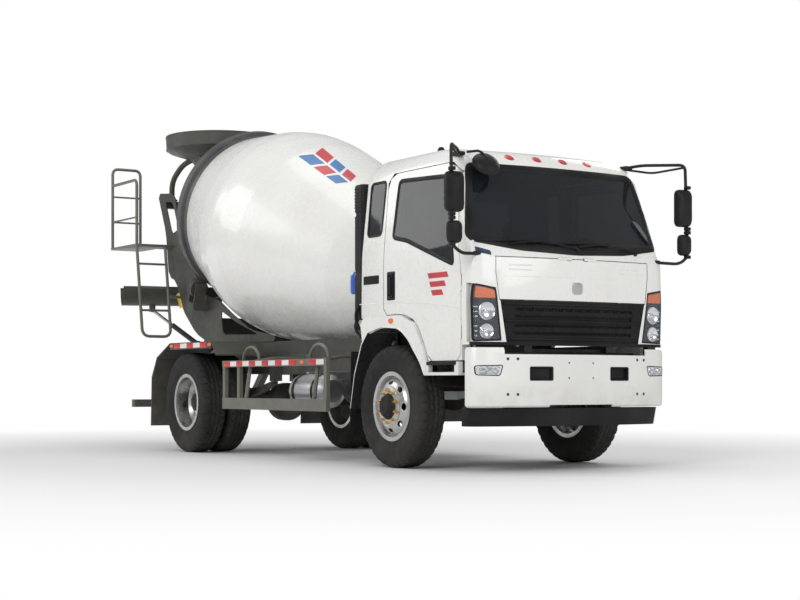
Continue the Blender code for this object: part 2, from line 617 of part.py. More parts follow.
def cab_glass():
    screen = carve(prism(grown(rounded(WINDSCREEN, 0.05, 2), -TOUCH), "X", 0.5, 1.5),
                   keep=[screen_slab(-TOUCH), cab_loft(0)], cut=[cab_loft(GLASS)])
    finish(screen, "windscreen", DARK_GLASS, (TILT_X, 0, TILT_Z))
    both_sides(pane(DOOR_WINDOW), "door_glass", DARK_GLASS, (*DOOR_HINGE, 1.2))


def doors():
    blank = prism(rounded(DOOR_OUTLINE, 0.05, 1), "Y", -1.2, -0.78)
    clear = hinge_barrels(*DOOR_HINGE, [(low - 0.0004, high + 0.0004) for low, high in SHELL_SPANS], 0.015)
    panel = carve(blank, keep=[cab_loft(0)], cut=[cab_loft(CAB_WALL), window_cut(DOOR_WINDOW), *clear])
    both_sides(carve(panel, add=hinge_barrels(*DOOR_HINGE, DOOR_SPANS)), "door", WHITE, (*DOOR_HINGE, 1.2))


def front_panels():
    pivot = (FLAP_HINGE[0], 0, FLAP_HINGE[1])
    flap = carve(prism(FLAP, "X", 0.8, 1.4), keep=[cab_loft(0)], cut=[cab_loft(0.03)])
    clear = [rod((pivot[0], low - 0.0004, pivot[2]), (pivot[0], high + 0.0004, pivot[2]), 0.015, steps=10)
             for low, high in FLAP_SHELL_SPANS]
    ribs = [carve(prism([(y - 0.02, 1.2), (y + 0.02, 1.2), (y + 0.02, 1.58), (y - 0.02, 1.58)], "X", 0.9, 1.4),
                  keep=[cab_loft(0.02)], cut=[cab_loft(0.042)]) for y in (-0.45, 0.45)]
    barrels = [rod((pivot[0], low, pivot[2]), (pivot[0], high, pivot[2]), HINGE_R, steps=10) for low, high in FLAP_SPANS]
    flap = carve(flap, cut=clear)
    grille = carve(prism(GRILLE, "X", 0.8, 1.4), keep=[cab_loft(0.004)], cut=[cab_loft(0.045)])
    slots = [carve(box(1.0, 1.3, -0.56, 0.56, z, z + 0.025), cut=[cab_loft(0.024)]) for z in (1.03, 1.09, 1.15, 1.21)]
    clear_ribs = [carve(prism([(y - 0.0203, 1.19), (y + 0.0203, 1.19), (y + 0.0203, 1.59), (y - 0.0203, 1.59)], "X", 0.9, 1.4),
                        keep=[cab_loft(0.0197)], cut=[cab_loft(0.0423)]) for y in (-0.45, 0.45)]
    finish(carve(flap, add=[*ribs, *barrels]), "front_flap", WHITE, pivot)
    finish(carve(grille, cut=[*slots, *clear_ribs]), "front_grille", BLACK, pivot)


def headlights():
    lamp = carve(prism(HEADLIGHT, "X", 0.9905, 1.4), keep=[cab_loft(0)], cut=[cab_loft(LAMP_DEPTH - 0.001)])
    other = mirrored(lamp)
    finish(lamp, "headlight_left", LAMP, (TILT_X, 0, TILT_Z))
    finish(other, "headlight_right", LAMP, (TILT_X, 0, TILT_Z))


def wheel_arches():
    """The arch skin below the cab's side, the mudguard sheet behind it and the step under the door."""
    skin = [(0.929, 0.728), (0.929, 0.83), (0.478, 0.83), (0.43, 0.945), (0.3, 1.14), (0.12, SILL_Z - TOUCH),
            (-0.45, SILL_Z - TOUCH), (-0.5, 1.15)]
    outline = [*skin, (-0.47, 1.0), (-0.36, 1.088), *reversed(ARCH_EDGE[:7])]
    plate = prism(outline, "Y", -0.965, -0.925)
    path = ARCH_EDGE[4:]
    sheet = [*path, *reversed([(x - 0.006, z + 0.012) for x, z in path])]
    sheet = prism(sheet, "Y", -0.985, -0.7)
    tray = box(0.5, 0.92, -0.965, -0.8, 0.728, 0.748)
    riser = box(0.5, 0.92, -0.83, -0.8, 0.74, 0.99 - TOUCH)
    slot = box(0.52, 0.876, -1.0, -0.84, 0.752, 0.812)
    plate = carve(plate, cut=[slot])
    both_sides(carve(plate, add=[sheet, tray, riser]), "wheel_arch", WHITE, (TILT_X, 0, TILT_Z))


def mirrors():
    """A hoop arm from the roof corner to the front corner, carrying two heads."""
    arm = rounded([(0.7, -0.8, 2.40), (0.82, -0.9, 2.43), (1.08, -1.13, 2.42), (1.1, -1.14, 1.68),
                   (1.1, -1.05, 1.62), (1.03, -0.84, 1.63)], 0.05, 2, closed=False)
    hoop = tube(arm, 0.012)
    heads = [carve(box(1.05, 1.13, -1.18, -1.03, 1.92, 2.22)), box(1.06, 1.13, -1.17, -1.05, 1.69, 1.86)]
    plates = [box(0.66, 0.76, -0.86, -0.78, 2.39, 2.43), box(1.0, 1.06, -0.9, -0.8, 1.61, 1.65)]
    piece = carve(hoop, add=[*heads, *plates])
    both_sides(carve(piece, cut=[cab_loft(-0.0008)]), "mirrors", BLACK, (TILT_X, 0, TILT_Z))


def cab_interior():
    outline = [(0.62, 1.28), (0.6, 1.5), (0.66, 1.58), (0.96, 1.6), (1.1, 1.55), (1.1, 1.2), (0.8, 1.2)]
    dash = carve(prism(outline, "Y", -0.84, 0.84), keep=[cab_loft(CAB_WALL + 0.02, FRONT_WALL + 0.01)])
    foot = box(0.64, 0.8, -0.3, 0.3, 0.99 + FLOOR + TOUCH, 1.25)
    column = rod(WHEEL_CENTRE - WHEEL_AXIS * 0.02, WHEEL_CENTRE - WHEEL_AXIS * 0.2, 0.03, steps=12)
    shroud = box(0.47, 0.68, WHEEL_CENTRE.y - 0.04, WHEEL_CENTRE.y + 0.04, 1.48, 1.56)
    finish(carve(dash, add=[foot, column, shroud]), "dashboard", BLACK, (TILT_X, 0, TILT_Z))
    floor = SILL_Z + FLOOR + TOUCH
    side = [(-0.36, floor), (0.1, floor), (0.12, 1.46), (0.1, 1.51), (-0.28, 1.48), (-0.36, 2.04), (-0.4, 2.25),
            (-0.48, 2.25), (-0.47, 2.04), (-0.42, 1.48)]
    seat = carve(prism(rounded(side, 0.03, 2), "Y", -0.76, -0.42),
                 cut=[box(-0.6, -0.2, -0.9, -0.68, 2.05, 2.4), box(-0.6, -0.2, -0.5, -0.3, 2.05, 2.4)])
    other = mirrored(seat)
    finish(seat, "passenger_seat", SEAT, (TILT_X, 0, TILT_Z))
    finish(other, "driver_seat", SEAT, (TILT_X, 0, TILT_Z))


def steering_wheel():
    ring = [(0.215 + 0.014 * cos(a), 0.014 * sin(a)) for a in [pi / 2 * k for k in range(4)]]
    rim = turned(ring, WHEEL_CENTRE, WHEEL_AXIS, closed=True, steps=16)
    turn = WHEEL_AXIS.to_track_quat("Z", "Y").to_matrix()
    spokes = [rod(WHEEL_CENTRE, WHEEL_CENTRE + turn @ Vector((0.215 * cos(a), 0.215 * sin(a), 0)), 0.011, steps=6)
              for a in (0, 2 * pi / 3, 4 * pi / 3)]
    hub = rod(WHEEL_CENTRE - WHEEL_AXIS * 0.0195, WHEEL_CENTRE + WHEEL_AXIS * 0.02, 0.04, steps=12)
    finish(carve(rim, add=[*spokes, hub]), "steering_wheel", BLACK, WHEEL_CENTRE)


# ---- chassis equipment ----

def side_guards():
    y0, y1 = -1.1, -1.06
    rails = [box(-2.8, -0.83, y0, y1, 0.818, 0.878), box(-2.8, -0.83, y0, y1, 0.432, 0.535)]
    posts = [box(x, x + 0.05, y0 + 0.005, y1, 0.432, 0.878) for x in (-2.8, -2.5, -0.88)]
    arms = []
    for x in (-2.35, -1.08):
        path = rounded([(x, -1.08, 0.5), (x, -1.03, 0.86), (x, -0.8, 0.9), (x, -RAIL_OUT - TOUCH, 0.9)], 0.05, 2, closed=False)
        arms += [tube(path, 0.018), box(x - 0.03, x + 0.03, -RAIL_OUT - 0.008, -RAIL_OUT - TOUCH, 0.85, 0.94)]
    both_sides(carve(rails[0], add=[rails[1], *posts, *arms]), "side_guard", OLIVE)


def rear_mudguards():
    x = REAR_AXLE_X
    path = [(x + 0.72, 0.93), (x + 0.62, 1.056), (x - 0.33, 1.056), (x - 0.64, 0.92), (x - 0.77, 0.72), (x - 0.79, 0.24)]
    sheet = prism([*path, *reversed([(px - (0.012 if i > 2 else 0), pz + (0.012 if i < 5 else 0))
                                     for i, (px, pz) in enumerate(path)])], "Y", -1.13, -0.6)
    strip = box(x - 0.32, x + 0.61, -1.13, -1.11, 1.0, 1.068)
    arm = box(x - 0.05, x + 0.05, -0.7, -RAIL_OUT - TOUCH, 1.02, 1.06)
    both_sides(carve(sheet, add=[strip, arm]), "rear_mudguard", GREY)


def underrun_bar():
    bar = box(-5.16, -5.08, -1.02, 1.02, 0.42, 0.5)
    hangers = []
    for side in (-1, 1):
        y0, y1 = sorted((side * 0.34, side * 0.41))
        line = [(RAIL_REAR - TOUCH, 0.9), (RAIL_REAR - TOUCH, 0.78), (-5.09, 0.44), (-5.15, 0.44), (-5.15, 0.5)]
        hangers.append(prism(line, "Y", y0, y1))
    finish(carve(bar, add=hangers), "underrun_bar", GREY)


def tanks():
    hang = [box(x, x + 0.05, -0.8, -RAIL_OUT - TOUCH, 0.7, 0.77) for x in (-1.72, -1.4)]
    tank = turned([(0, -0.3), (0.1, -0.29), (0.145, -0.25), (0.15, -0.22), (0.15, 0.22), (0.145, 0.25), (0.1, 0.29), (0, 0.3)],
                  (-1.525, -0.8, 0.6), (1, 0, 0), steps=16)
    finish(carve(tank, add=hang), "air_tank", SILVER)
    profile = rounded([(0.47, 0.4), (0.98, 0.4), (0.98, 0.8), (0.47, 0.8)], 0.07, 2)
    fuel = prism(profile, "X", -2.1, -1.2)
    finish(carve(fuel, add=[box(x, x + 0.06, RAIL_OUT + TOUCH, 0.6, 0.66, 0.8) for x in (-2.0, -1.36)]), "fuel_tank", SILVER)
    can = turned([(0, -0.17), (0.12, -0.17), (0.14, -0.15), (0.14, 0.15), (0.12, 0.17), (0, 0.17)], (-0.9, -0.68, 0.62),
                 (1, 0, 0), steps=16)
    finish(carve(can, add=[box(-0.93, -0.87, -0.68, -RAIL_OUT - TOUCH, 0.72, 0.8)]), "exhaust_silencer", BLACK)


def air_intake():
    duct = box(-0.87, -0.7, -0.84, -0.68, 1.2, 2.3)
    head = box(-0.91, -0.65, -0.86, -0.64, 2.2, 2.37)
    foot = box(-0.86, -0.7502, -0.7, -RAIL_OUT - TOUCH, 1.0, 1.04)
    link_box = box(-0.86, -0.76, -0.72, -0.68, 1.0, 1.25)
    finish(carve(duct, add=[head, foot, link_box]), "air_intake", BLACK)


# ---- drum and its carriers ----

def drum_point(s, up=0.0, y=0.0):
    return DRUM_START + DRUM_DIR * s + DRUM_UP * up + Vector((0, y, 0))


def drum():
    outer = [(0, HEAD_S), (HEAD_R, HEAD_S), (0.67, 0.65), (0.97, 1.84), (1.012, 2.15), (1.02, 2.38), (0.99, 2.62), (0.838, 3.285),
             (RING_R - 0.03, RING_S - RING_HALF), (RING_R, RING_S - RING_HALF), (RING_R, RING_S + RING_HALF),
             (0.8, RING_S + RING_HALF), (MOUTH_R, MOUTH_S)]
    inner = [(MOUTH_R - DRUM_WALL, MOUTH_S), (0.79, RING_S + RING_HALF - 0.02), (0.838 - DRUM_WALL, 3.285), (0.982, 2.62),
             (1.02 - DRUM_WALL, 2.38), (1.004, 2.15), (0.97 - DRUM_WALL, 1.84), (0.67 - DRUM_WALL, 0.65),
             (HEAD_R - 0.02, HEAD_S + 0.02), (0, HEAD_S + 0.02)]
    shell = turned(outer + inner, DRUM_START, DRUM_DIR, steps=32)
    finish(shell, "drum_shell", WHITE, DRUM_START)


def roller_centre(side):
    reach = RING_R + ROLLER_R + 0.0025
    return drum_point(RING_S, -reach * cos(ROLLER_ANGLE), side * reach * sin(ROLLER_ANGLE))


def rollers():
    for side, name in ((-1, "right"), (1, "left")):
        centre = roller_centre(side)
        body = turned([(0, -0.09), (ROLLER_PIN_R, -0.09), (ROLLER_PIN_R, -ROLLER_HALF), (ROLLER_R, -ROLLER_HALF),
                       (ROLLER_R, ROLLER_HALF), (ROLLER_PIN_R, ROLLER_HALF), (ROLLER_PIN_R, 0.09), (0, 0.09)],
                      centre, DRUM_DIR, steps=20)
        finish(body, "support_roller_" + name, IRON, centre)


def roller_seat(side):
    """Two cheeks square to the drum's axis on a base plate, in the frame of the roller."""
    turn = Matrix.Translation(roller_centre(side)) @ DRUM_DIR.to_track_quat("Z", "Y").to_matrix().to_4x4()
    blocks = [box(-0.06, 0.06, -0.17, 0.06, s, s + 0.02) for s in (-0.075, 0.055)]
    blocks.append(box(-0.07, 0.07, -0.175, -0.15, -0.08, 0.08))
    for block in blocks:
        block.data.transform(turn)
    return blocks


def roller_hole(side):
    centre = roller_centre(side)
    return rod(centre - DRUM_DIR * 0.1, centre + DRUM_DIR * 0.1, ROLLER_PIN_R + BORE_PLAY, steps=20)


def subframe():
    rails = [box(-4.6, SUBFRAME_FRONT, *sorted((side * 0.35, side * RAIL_OUT)), RAIL_TOP + TOUCH, SUBFRAME_TOP) for side in (-1, 1)]
    members = [box(x, x + 0.08, -0.4, 0.4, RAIL_TOP + TOUCH, RAIL_TOP + 0.025) for x in (-0.9, -1.7, -2.5, -3.3, -4.0, -4.6)]
    pedestal, hole = front_pedestal()
    finish(carve(rails[0], add=[rails[1], *members, *pedestal], cut=[hole]), "mixer_subframe", GREY)


def front_pedestal():
    """The braced plate that carries the drum's drive, and the hole for it."""
    low = [box(-0.93, -0.755, *sorted((side * 0.33, side * RAIL_OUT)), SUBFRAME_TOP - 0.02, SUBFRAME_TOP + 0.02) for side in (-1, 1)]
    plate = prism([(-0.42, SUBFRAME_TOP + 0.01), (0.42, SUBFRAME_TOP + 0.01), (0.24, 1.5), (-0.24, 1.5)], "X", -0.8, -0.76)
    hole = rod(drum_point(-0.6), drum_point(0.3), 0.16 + TOUCH, steps=ROUND_STEPS)
    feet = [prism([(-0.93, SUBFRAME_TOP + 0.01), (-0.77, SUBFRAME_TOP + 0.01), (-0.77, 1.3)], "Y", *sorted((side * 0.36, side * 0.38)))
            for side in (-1, 1)]
    return [plate, *low, *feet], hole


def drum_drive():
    s = -HEAD_S + TOUCH
    profile = [(0, 0), (0.12, 0), (0.12, 0.03), (0.16, 0.03), (0.16, 0.2), (0.08, 0.21), (0.08, 0.27), (0, 0.27)]
    finish(turned(profile, drum_point(-s), -DRUM_DIR, steps=ROUND_STEPS), "drum_drive", IRON)


def chute_bearing():
    """The arm and ring that hold the chute's post."""
    ring = turned([(0.051, 1.2), (0.08, 1.2), (0.08, 1.34), (0.051, 1.34)], (SWING_X, 0, 0), (0, 0, 1), closed=True, steps=16)
    return [ring, box(SWING_X + 0.06, -4.65, -0.05, 0.05, 1.22, 1.32)]


def rear_pedestal():
    """Two side plates from the subframe to behind the drum's mouth, with cross members and roller seats."""
    outline = [(-3.0, 1.13), (-3.5, 1.2), (-3.9, 1.36), (-4.25, 1.53), (-4.42, 1.56), (-4.62, 1.62), (-4.8, 1.82), (-5.02, 2.02), (-5.2, 2.3),
               (-5.36, 2.74), (-5.8, 2.78), (-5.58, 2.33), (-5.5, 1.84), (-5.3, 1.78), (-5.22, 1.6), (-5.12, 1.45), (-4.8, 1.2),
               (-4.45, SUBFRAME_TOP + TOUCH),
               (-3.0, SUBFRAME_TOP + TOUCH)]
    hole = rounded([(-4.15, 1.17), (-3.35, 1.15), (-3.85, 1.29), (-4.2, 1.42)], 0.06, 2)
    slot = rounded([(-5.42, 2.3), (-5.25, 2.34), (-5.4, 2.65), (-5.6, 2.67)], 0.05, 2)
    plates = []
    for side in (-1, 1):
        y0, y1 = sorted((side * SIDE_PLATE_IN, side * (SIDE_PLATE_IN + SIDE_PLATE)))
        plates.append(carve(prism(rounded(outline, 0.06, 1), "Y", y0, y1), cut=[prism(hole, "Y", -1, 1), prism(slot, "Y", -1, 1)]))
        y0, y1 = sorted((side * 0.38, side * (SIDE_PLATE_IN + 0.005)))
        plates.append(box(-4.45, -3.05, y0, y1, SUBFRAME_TOP + TOUCH, SUBFRAME_TOP + 0.02))
    y = SIDE_PLATE_IN + 0.005
    members = [box(-4.68, -4.6, -y, y, 1.2, 1.36), box(-5.05, -4.97, -y, y, 1.6, 1.68), box(-5.66, -5.6, -y, y, 2.6, 2.68), box(-4.35, -4.27, -y, y, 1.12, 1.2)]
    seats = []
    for side in (-1, 1):
        centre = roller_centre(side)
        y0, y1 = sorted((side * y, side * (abs(centre.y) + 0.065)))
        seats += [*roller_seat(side), box(centre.x - 0.124, centre.x + 0.036, y0, y1, centre.z - 0.23, centre.z - 0.155)]
    pedestal = carve(plates[0], add=[*plates[1:], *members, *seats, *chute_bearing()])
    finish(carve(pedestal, cut=[roller_hole(side) for side in (-1, 1)]), "rear_pedestal", GREY)


def funnel(rings, wall, steps=20):
    """A round, open funnel through (centre x, z, radius) rings, with a wall of even thickness."""
    def circle(x, z, radius):
        return [(x + radius * cos(2 * pi * k / steps), radius * sin(2 * pi * k / steps), z) for k in range(steps)]
    bm = bmesh.new()
    rows = [circle(x, z, radius) for x, z, radius in rings] + [circle(x, z, radius - wall) for x, z, radius in reversed(rings)]
    rows = [[bm.verts.new(point) for point in row] for row in rows]
    for lower, upper in zip(rows, rows[1:] + rows[:1]):
        for i in range(steps):
            j = (i + 1) % steps
            bm.faces.new((lower[i], lower[j], upper[j], upper[i]))
    return from_bmesh(bm)


def feed_hopper():
    rings = [(HOPPER_X, HOPPER_TOP, HOPPER_R), (HOPPER_X, HOPPER_TOP - HOPPER_BAND, HOPPER_R - 0.01), (HOPPER_X + 0.05, 3.1, 0.35),
             (HOPPER_X + 0.17, 2.85, 0.21), (HOPPER_X + 0.3, 2.62, 0.17)]
    cone = funnel(rings, 0.008)
    arms = []
    for side in (-1, 1):
        path = rounded([(-5.6, side * 0.36, 2.6803 + 0.01), (-5.6, side * 0.36, 2.9), (-5.45, side * 0.3, 3.07), (-5.3, side * 0.22, 3.13)], 0.08, 2, closed=False)
        arms += [tube(path, 0.03), box(-5.68, -5.56, side * 0.36 - 0.05, side * 0.36 + 0.05, 2.6803, 2.7)]
    finish(carve(cone, add=arms), "feed_hopper", GREY)


def collector_funnel():
    """The funnel under the drum's mouth: a sloped oval top that narrows to a round spout."""
    steps = 20
    def ring(x, z, rx, ry, slope, wall):
        points = []
        for k in range(steps):
            a = 2 * pi * k / steps
            px = (rx - wall) * cos(a)
            points.append((x + px, (ry - wall) * sin(a), z - slope * px))
        return points
    levels = [(-5.22, 2.28, 0.25, 0.4, 0.75), (-5.24, 2.05, 0.21, 0.28, 0.4), (SWING_X, 1.9, 0.14, 0.14, 0), (SWING_X, 1.81, 0.14, 0.14, 0)]
    bm = bmesh.new()
    rows = [ring(*level, 0) for level in levels] + [ring(*level, 0.008) for level in reversed(levels)]
    rows = [[bm.verts.new(point) for point in row] for row in rows]
    for lower, upper in zip(rows, rows[1:] + rows[:1]):
        for i in range(steps):
            j = (i + 1) % steps
            bm.faces.new((lower[i], lower[j], upper[j], upper[i]))
    shell = from_bmesh(bm)
    ears = [box(-5.3, -5.16, *sorted((side * 0.385, side * (SIDE_PLATE_IN - TOUCH))), 2.2, 2.28) for side in (-1, 1)]
    finish(carve(shell, add=ears), "collector_funnel", GREY)


# ---- discharge chute, in its own frame: +X along the chute, origin on the swing axis ----

def chute_turret():
    post = rod((0, 0, 1.05), (0, 0, 1.4), 0.0495, steps=16)
    yoke = box(-0.035, 0.035, -0.245, 0.245, 1.38, 1.42)
    ears = [box(-0.035, 0.035, *sorted((side * 0.225, side * 0.245)), 1.38, CHUTE_PIN_Z + 0.035) for side in (-1, 1)]
    low = box(0, JACK_LOW.x + 0.03, -0.05, 0.05, 1.06, 1.08)
    lugs = [box(JACK_LOW.x - 0.03, JACK_LOW.x + 0.03, *sorted((side * 0.032, side * 0.05)), 1.06, JACK_LOW.z + 0.03) for side in (-1, 1)]
    pin = rod((JACK_LOW.x, -0.04, JACK_LOW.z), (JACK_LOW.x, 0.04, JACK_LOW.z), 0.01, steps=12)
    finish(carve(post, add=[yoke, *ears, low, *lugs, pin]), "chute_turret", GREY, parent=swing)


def discharge_chute():
    """A half-round trough, open upwards and at its outer end, on two side pins."""
    arc = [(CHUTE_R * sin(a), CHUTE_Z - CHUTE_R * cos(a)) for a in [radians(-90 + 180 * k / 10) for k in range(11)]]
    skin = [((CHUTE_R - CHUTE_WALL) * sin(a), CHUTE_Z - (CHUTE_R - CHUTE_WALL) * cos(a)) for a in [radians(90 - 180 * k / 10) for k in range(11)]]
    trough = prism(arc + skin, "X", -0.13, CHUTE_LENGTH)
    back = prism([*arc], "X", -0.13, -0.122)
    pins = [rod((0, side * 0.165, CHUTE_PIN_Z), (0, side * (0.225 - TOUCH), CHUTE_PIN_Z), 0.015, steps=12) for side in (-1, 1)]
    lugs = [box(JACK_HIGH.x - 0.03, JACK_HIGH.x + 0.03, *sorted((side * 0.032, side * 0.044)), JACK_HIGH.z - 0.02, CHUTE_Z - CHUTE_R + 0.01) for side in (-1, 1)]
    pin = rod((JACK_HIGH.x, -0.04, JACK_HIGH.z), (JACK_HIGH.x, 0.04, JACK_HIGH.z), 0.008, steps=10)
    finish(carve(trough, add=[back, *pins, *lugs, pin]), "discharge_chute", GREY, (0, 0, CHUTE_PIN_Z), parent=swing)


def jack():
    along = (JACK_HIGH - JACK_LOW).normalized()
    profile = [(0, 0.02), (0.028, 0.02), (0.028, 0.34), (0.0175, 0.34), (0.0175, 0.05), (0, 0.05)]
    barrel = carve(turned(profile, JACK_LOW, along, steps=20),
                   add=[rod((JACK_LOW.x, -0.026, JACK_LOW.z), (JACK_LOW.x, 0.026, JACK_LOW.z), 0.024)])
    hole = rod((JACK_LOW.x, -0.05, JACK_LOW.z), (JACK_LOW.x, 0.05, JACK_LOW.z), 0.0106)
    finish(carve(barrel, cut=[hole]), "jack_barrel", GREY, JACK_LOW, parent=swing)
    rod_bar = rod(JACK_LOW + along * 0.3, JACK_HIGH - along * 0.02, 0.0168, steps=20)
    ring = rod((JACK_HIGH.x, -0.026, JACK_HIGH.z), (JACK_HIGH.x, 0.026, JACK_HIGH.z), 0.028, steps=20)
    hole = rod((JACK_HIGH.x, -0.05, JACK_HIGH.z), (JACK_HIGH.x, 0.05, JACK_HIGH.z), 0.0185, steps=20)
    finish(carve(rod_bar, add=[ring], cut=[hole]), "jack_rod", SILVER, JACK_HIGH, parent=swing)


# ---- ladder and platform ----

def ladder_platform():
    x0, x1 = PLATFORM_X
    y0, y1 = PLATFORM_Y
    z = PLATFORM_Z
    r = RAIL_TUBE_R
    deck = box(x0, x1, y0, y1, z - 0.03, z)
    parts = []
    top, side_top = z + 0.87, z + 0.68
    hoop = rounded([(x0 + r, y0 + r, z - 0.02), (x0 + r, y0 + r, top), (x0 + r, y1 - r, top), (x0 + r, y1 - r, z - 0.02)], 0.06, 2, closed=False)
    parts.append(tube(hoop, r))
    side = rounded([(x0 + r, y0 + r, side_top), (x1 - r, y0 + r, side_top), (x1 - r, y0 + r, z - 0.02)], 0.06, 2, closed=False)
    parts.append(tube(side, r))
    for level in (0.28, 0.56):
        parts.append(tube([(x0 + r, y0 + r, z + level), (x0 + r, y1 - r, z + level)], 0.01))
        if level < 0.5:
            parts.append(tube([(x0 + r, y0 + r, z + level), (x1 - r, y0 + r, z + level)], 0.01))
    foot_x, foot_z = x1 + 0.14, 1.17
    path = rounded([(x1 - r, y0 + r, z - 0.02), (foot_x, y0 + r, foot_z), (foot_x, y1 - r, foot_z), (x1 - r, y1 - r, z - 0.02)], 0.08, 2, closed=False)
    parts.append(tube(path, r))
    for level in (1.45, 1.7, 1.95):
        t = (z - level) / (z - foot_z)
        parts.append(tube([(x1 - r + (foot_x - x1 + r) * t, y0 + r, level), (x1 - r + (foot_x - x1 + r) * t, y1 - r, level)], 0.012))
    reach = -SIDE_PLATE_IN - SIDE_PLATE - TOUCH
    parts += [box(-5.46, -5.4, y1 - 0.01, reach, z - 0.03, z + 0.01), box(-5.54, -5.48, y1 - 0.01, reach, z - 0.03, z + 0.01)]
    parts.append(tube([(-5.18, y1 - r, 1.6), (-5.18, reach, 1.6)], 0.016))
    finish(carve(deck, add=parts), "ladder_platform", GREY)


front_wheel()
rear_wheel()
front_axle()
knuckle()
rear_axle()
chassis_frame()
engine()
front_bumper()
cab_shell()
cab_glass()
doors()
front_panels()
headlights()
wheel_arches()
mirrors()
cab_interior()
steering_wheel()
side_guards()
rear_mudguards()
underrun_bar()
tanks()
air_intake()
drum()
rollers()
subframe()
drum_drive()
rear_pedestal()
feed_hopper()
collector_funnel()
chute_turret()
discharge_chute()
jack()
ladder_platform()
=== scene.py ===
import json
import math

import bmesh
import bpy
import numpy as np
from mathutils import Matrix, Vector

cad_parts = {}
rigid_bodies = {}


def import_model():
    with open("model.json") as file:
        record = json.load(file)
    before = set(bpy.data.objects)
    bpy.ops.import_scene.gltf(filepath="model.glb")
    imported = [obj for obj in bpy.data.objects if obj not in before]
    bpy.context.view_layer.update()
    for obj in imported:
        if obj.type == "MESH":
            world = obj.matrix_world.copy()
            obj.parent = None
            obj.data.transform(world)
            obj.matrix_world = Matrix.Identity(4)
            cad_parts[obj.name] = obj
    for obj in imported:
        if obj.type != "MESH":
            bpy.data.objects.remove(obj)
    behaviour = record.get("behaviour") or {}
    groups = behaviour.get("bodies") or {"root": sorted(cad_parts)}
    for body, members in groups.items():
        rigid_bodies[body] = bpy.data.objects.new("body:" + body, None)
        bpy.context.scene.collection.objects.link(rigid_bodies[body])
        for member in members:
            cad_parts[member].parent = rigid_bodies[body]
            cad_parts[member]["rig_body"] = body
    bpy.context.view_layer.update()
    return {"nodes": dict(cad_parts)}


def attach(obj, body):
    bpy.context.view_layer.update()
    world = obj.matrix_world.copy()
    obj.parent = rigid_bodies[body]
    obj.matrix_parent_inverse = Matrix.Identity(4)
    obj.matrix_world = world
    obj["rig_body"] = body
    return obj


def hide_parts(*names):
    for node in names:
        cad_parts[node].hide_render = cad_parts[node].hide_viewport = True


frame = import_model()
cadNodes = frame["nodes"]
scene = bpy.context.scene
axleX = 2.387  # front axle
rearAxleX = axleX - 3.6
hubZ = 0.485
sides = {"right": -1, "left": 1}
print("frame loaded:", len(cadNodes), "nodes")

# Camera and studio.

studio = {
    "cameraPlace": (13.312, -7.734, 0.662),
    "cameraTurn": (90.0, 0.0, 58.339),
    "lens": 73.04,
    "shift": (0.0138, 0.1051),
    "worldLight": 0.42,
    "worldSeen": 1.0,
    "floorRadius": 60.0,
    "floorFade": (3.5, 9.0),
    "lamps": (
        # place, size, watts
        ((9.0, -10.0, 8.5), 7.0, 640.0),
        ((13.0, 3.0, 6.0), 6.0, 230.0),
        ((-8.0, -9.0, 7.0), 7.0, 300.0),
        ((-3.0, 11.0, 8.0), 8.0, 300.0),
        ((0.0, 0.0, 11.0), 8.0, 260.0),
    ),
}


def makeStudio():
    # The camera off the truck's right front corner, a plain white room and soft lamps.
    data = bpy.data.cameras.new("camera")
    data.lens = studio["lens"]
    data.sensor_width = 36
    data.shift_x, data.shift_y = studio["shift"]
    data.clip_end = 200
    camera = bpy.data.objects.new("camera", data)
    camera.location = studio["cameraPlace"]
    camera.rotation_euler = [math.radians(a) for a in studio["cameraTurn"]]
    scene.collection.objects.link(camera)
    scene.camera = camera
    world = bpy.data.worlds.new("studio")
    world.use_nodes = True
    tree = world.node_tree
    sky = tree.nodes["Background"]
    sky.inputs["Color"].default_value = (1, 1, 1, 1)
    # Strength = a soft fill for every other ray, and plain white for what the camera sees.
    seen = tree.nodes.new("ShaderNodeLightPath")
    strength = tree.nodes.new("ShaderNodeMapRange")
    strength.inputs["To Min"].default_value = studio["worldLight"]
    strength.inputs["To Max"].default_value = studio["worldSeen"]
    tree.links.new(seen.outputs["Is Camera Ray"], strength.inputs["Value"])
    tree.links.new(strength.outputs["Result"], sky.inputs["Strength"])
    scene.world = world
    for i, (place, size, watts) in enumerate(studio["lamps"]):
        light = bpy.data.lights.new("softbox", "AREA")
        light.shape = "DISK"
        light.size = size
        light.energy = watts
        lamp = bpy.data.objects.new("softbox_%d" % i, light)
        lamp.location = place
        lamp.rotation_euler = (Vector((0, 0, 1.3)) - lamp.location).to_track_quat("-Z", "Y").to_euler()
        scene.collection.objects.link(lamp)


scene.view_settings.view_transform = "Standard"
makeStudio()


# Materials.

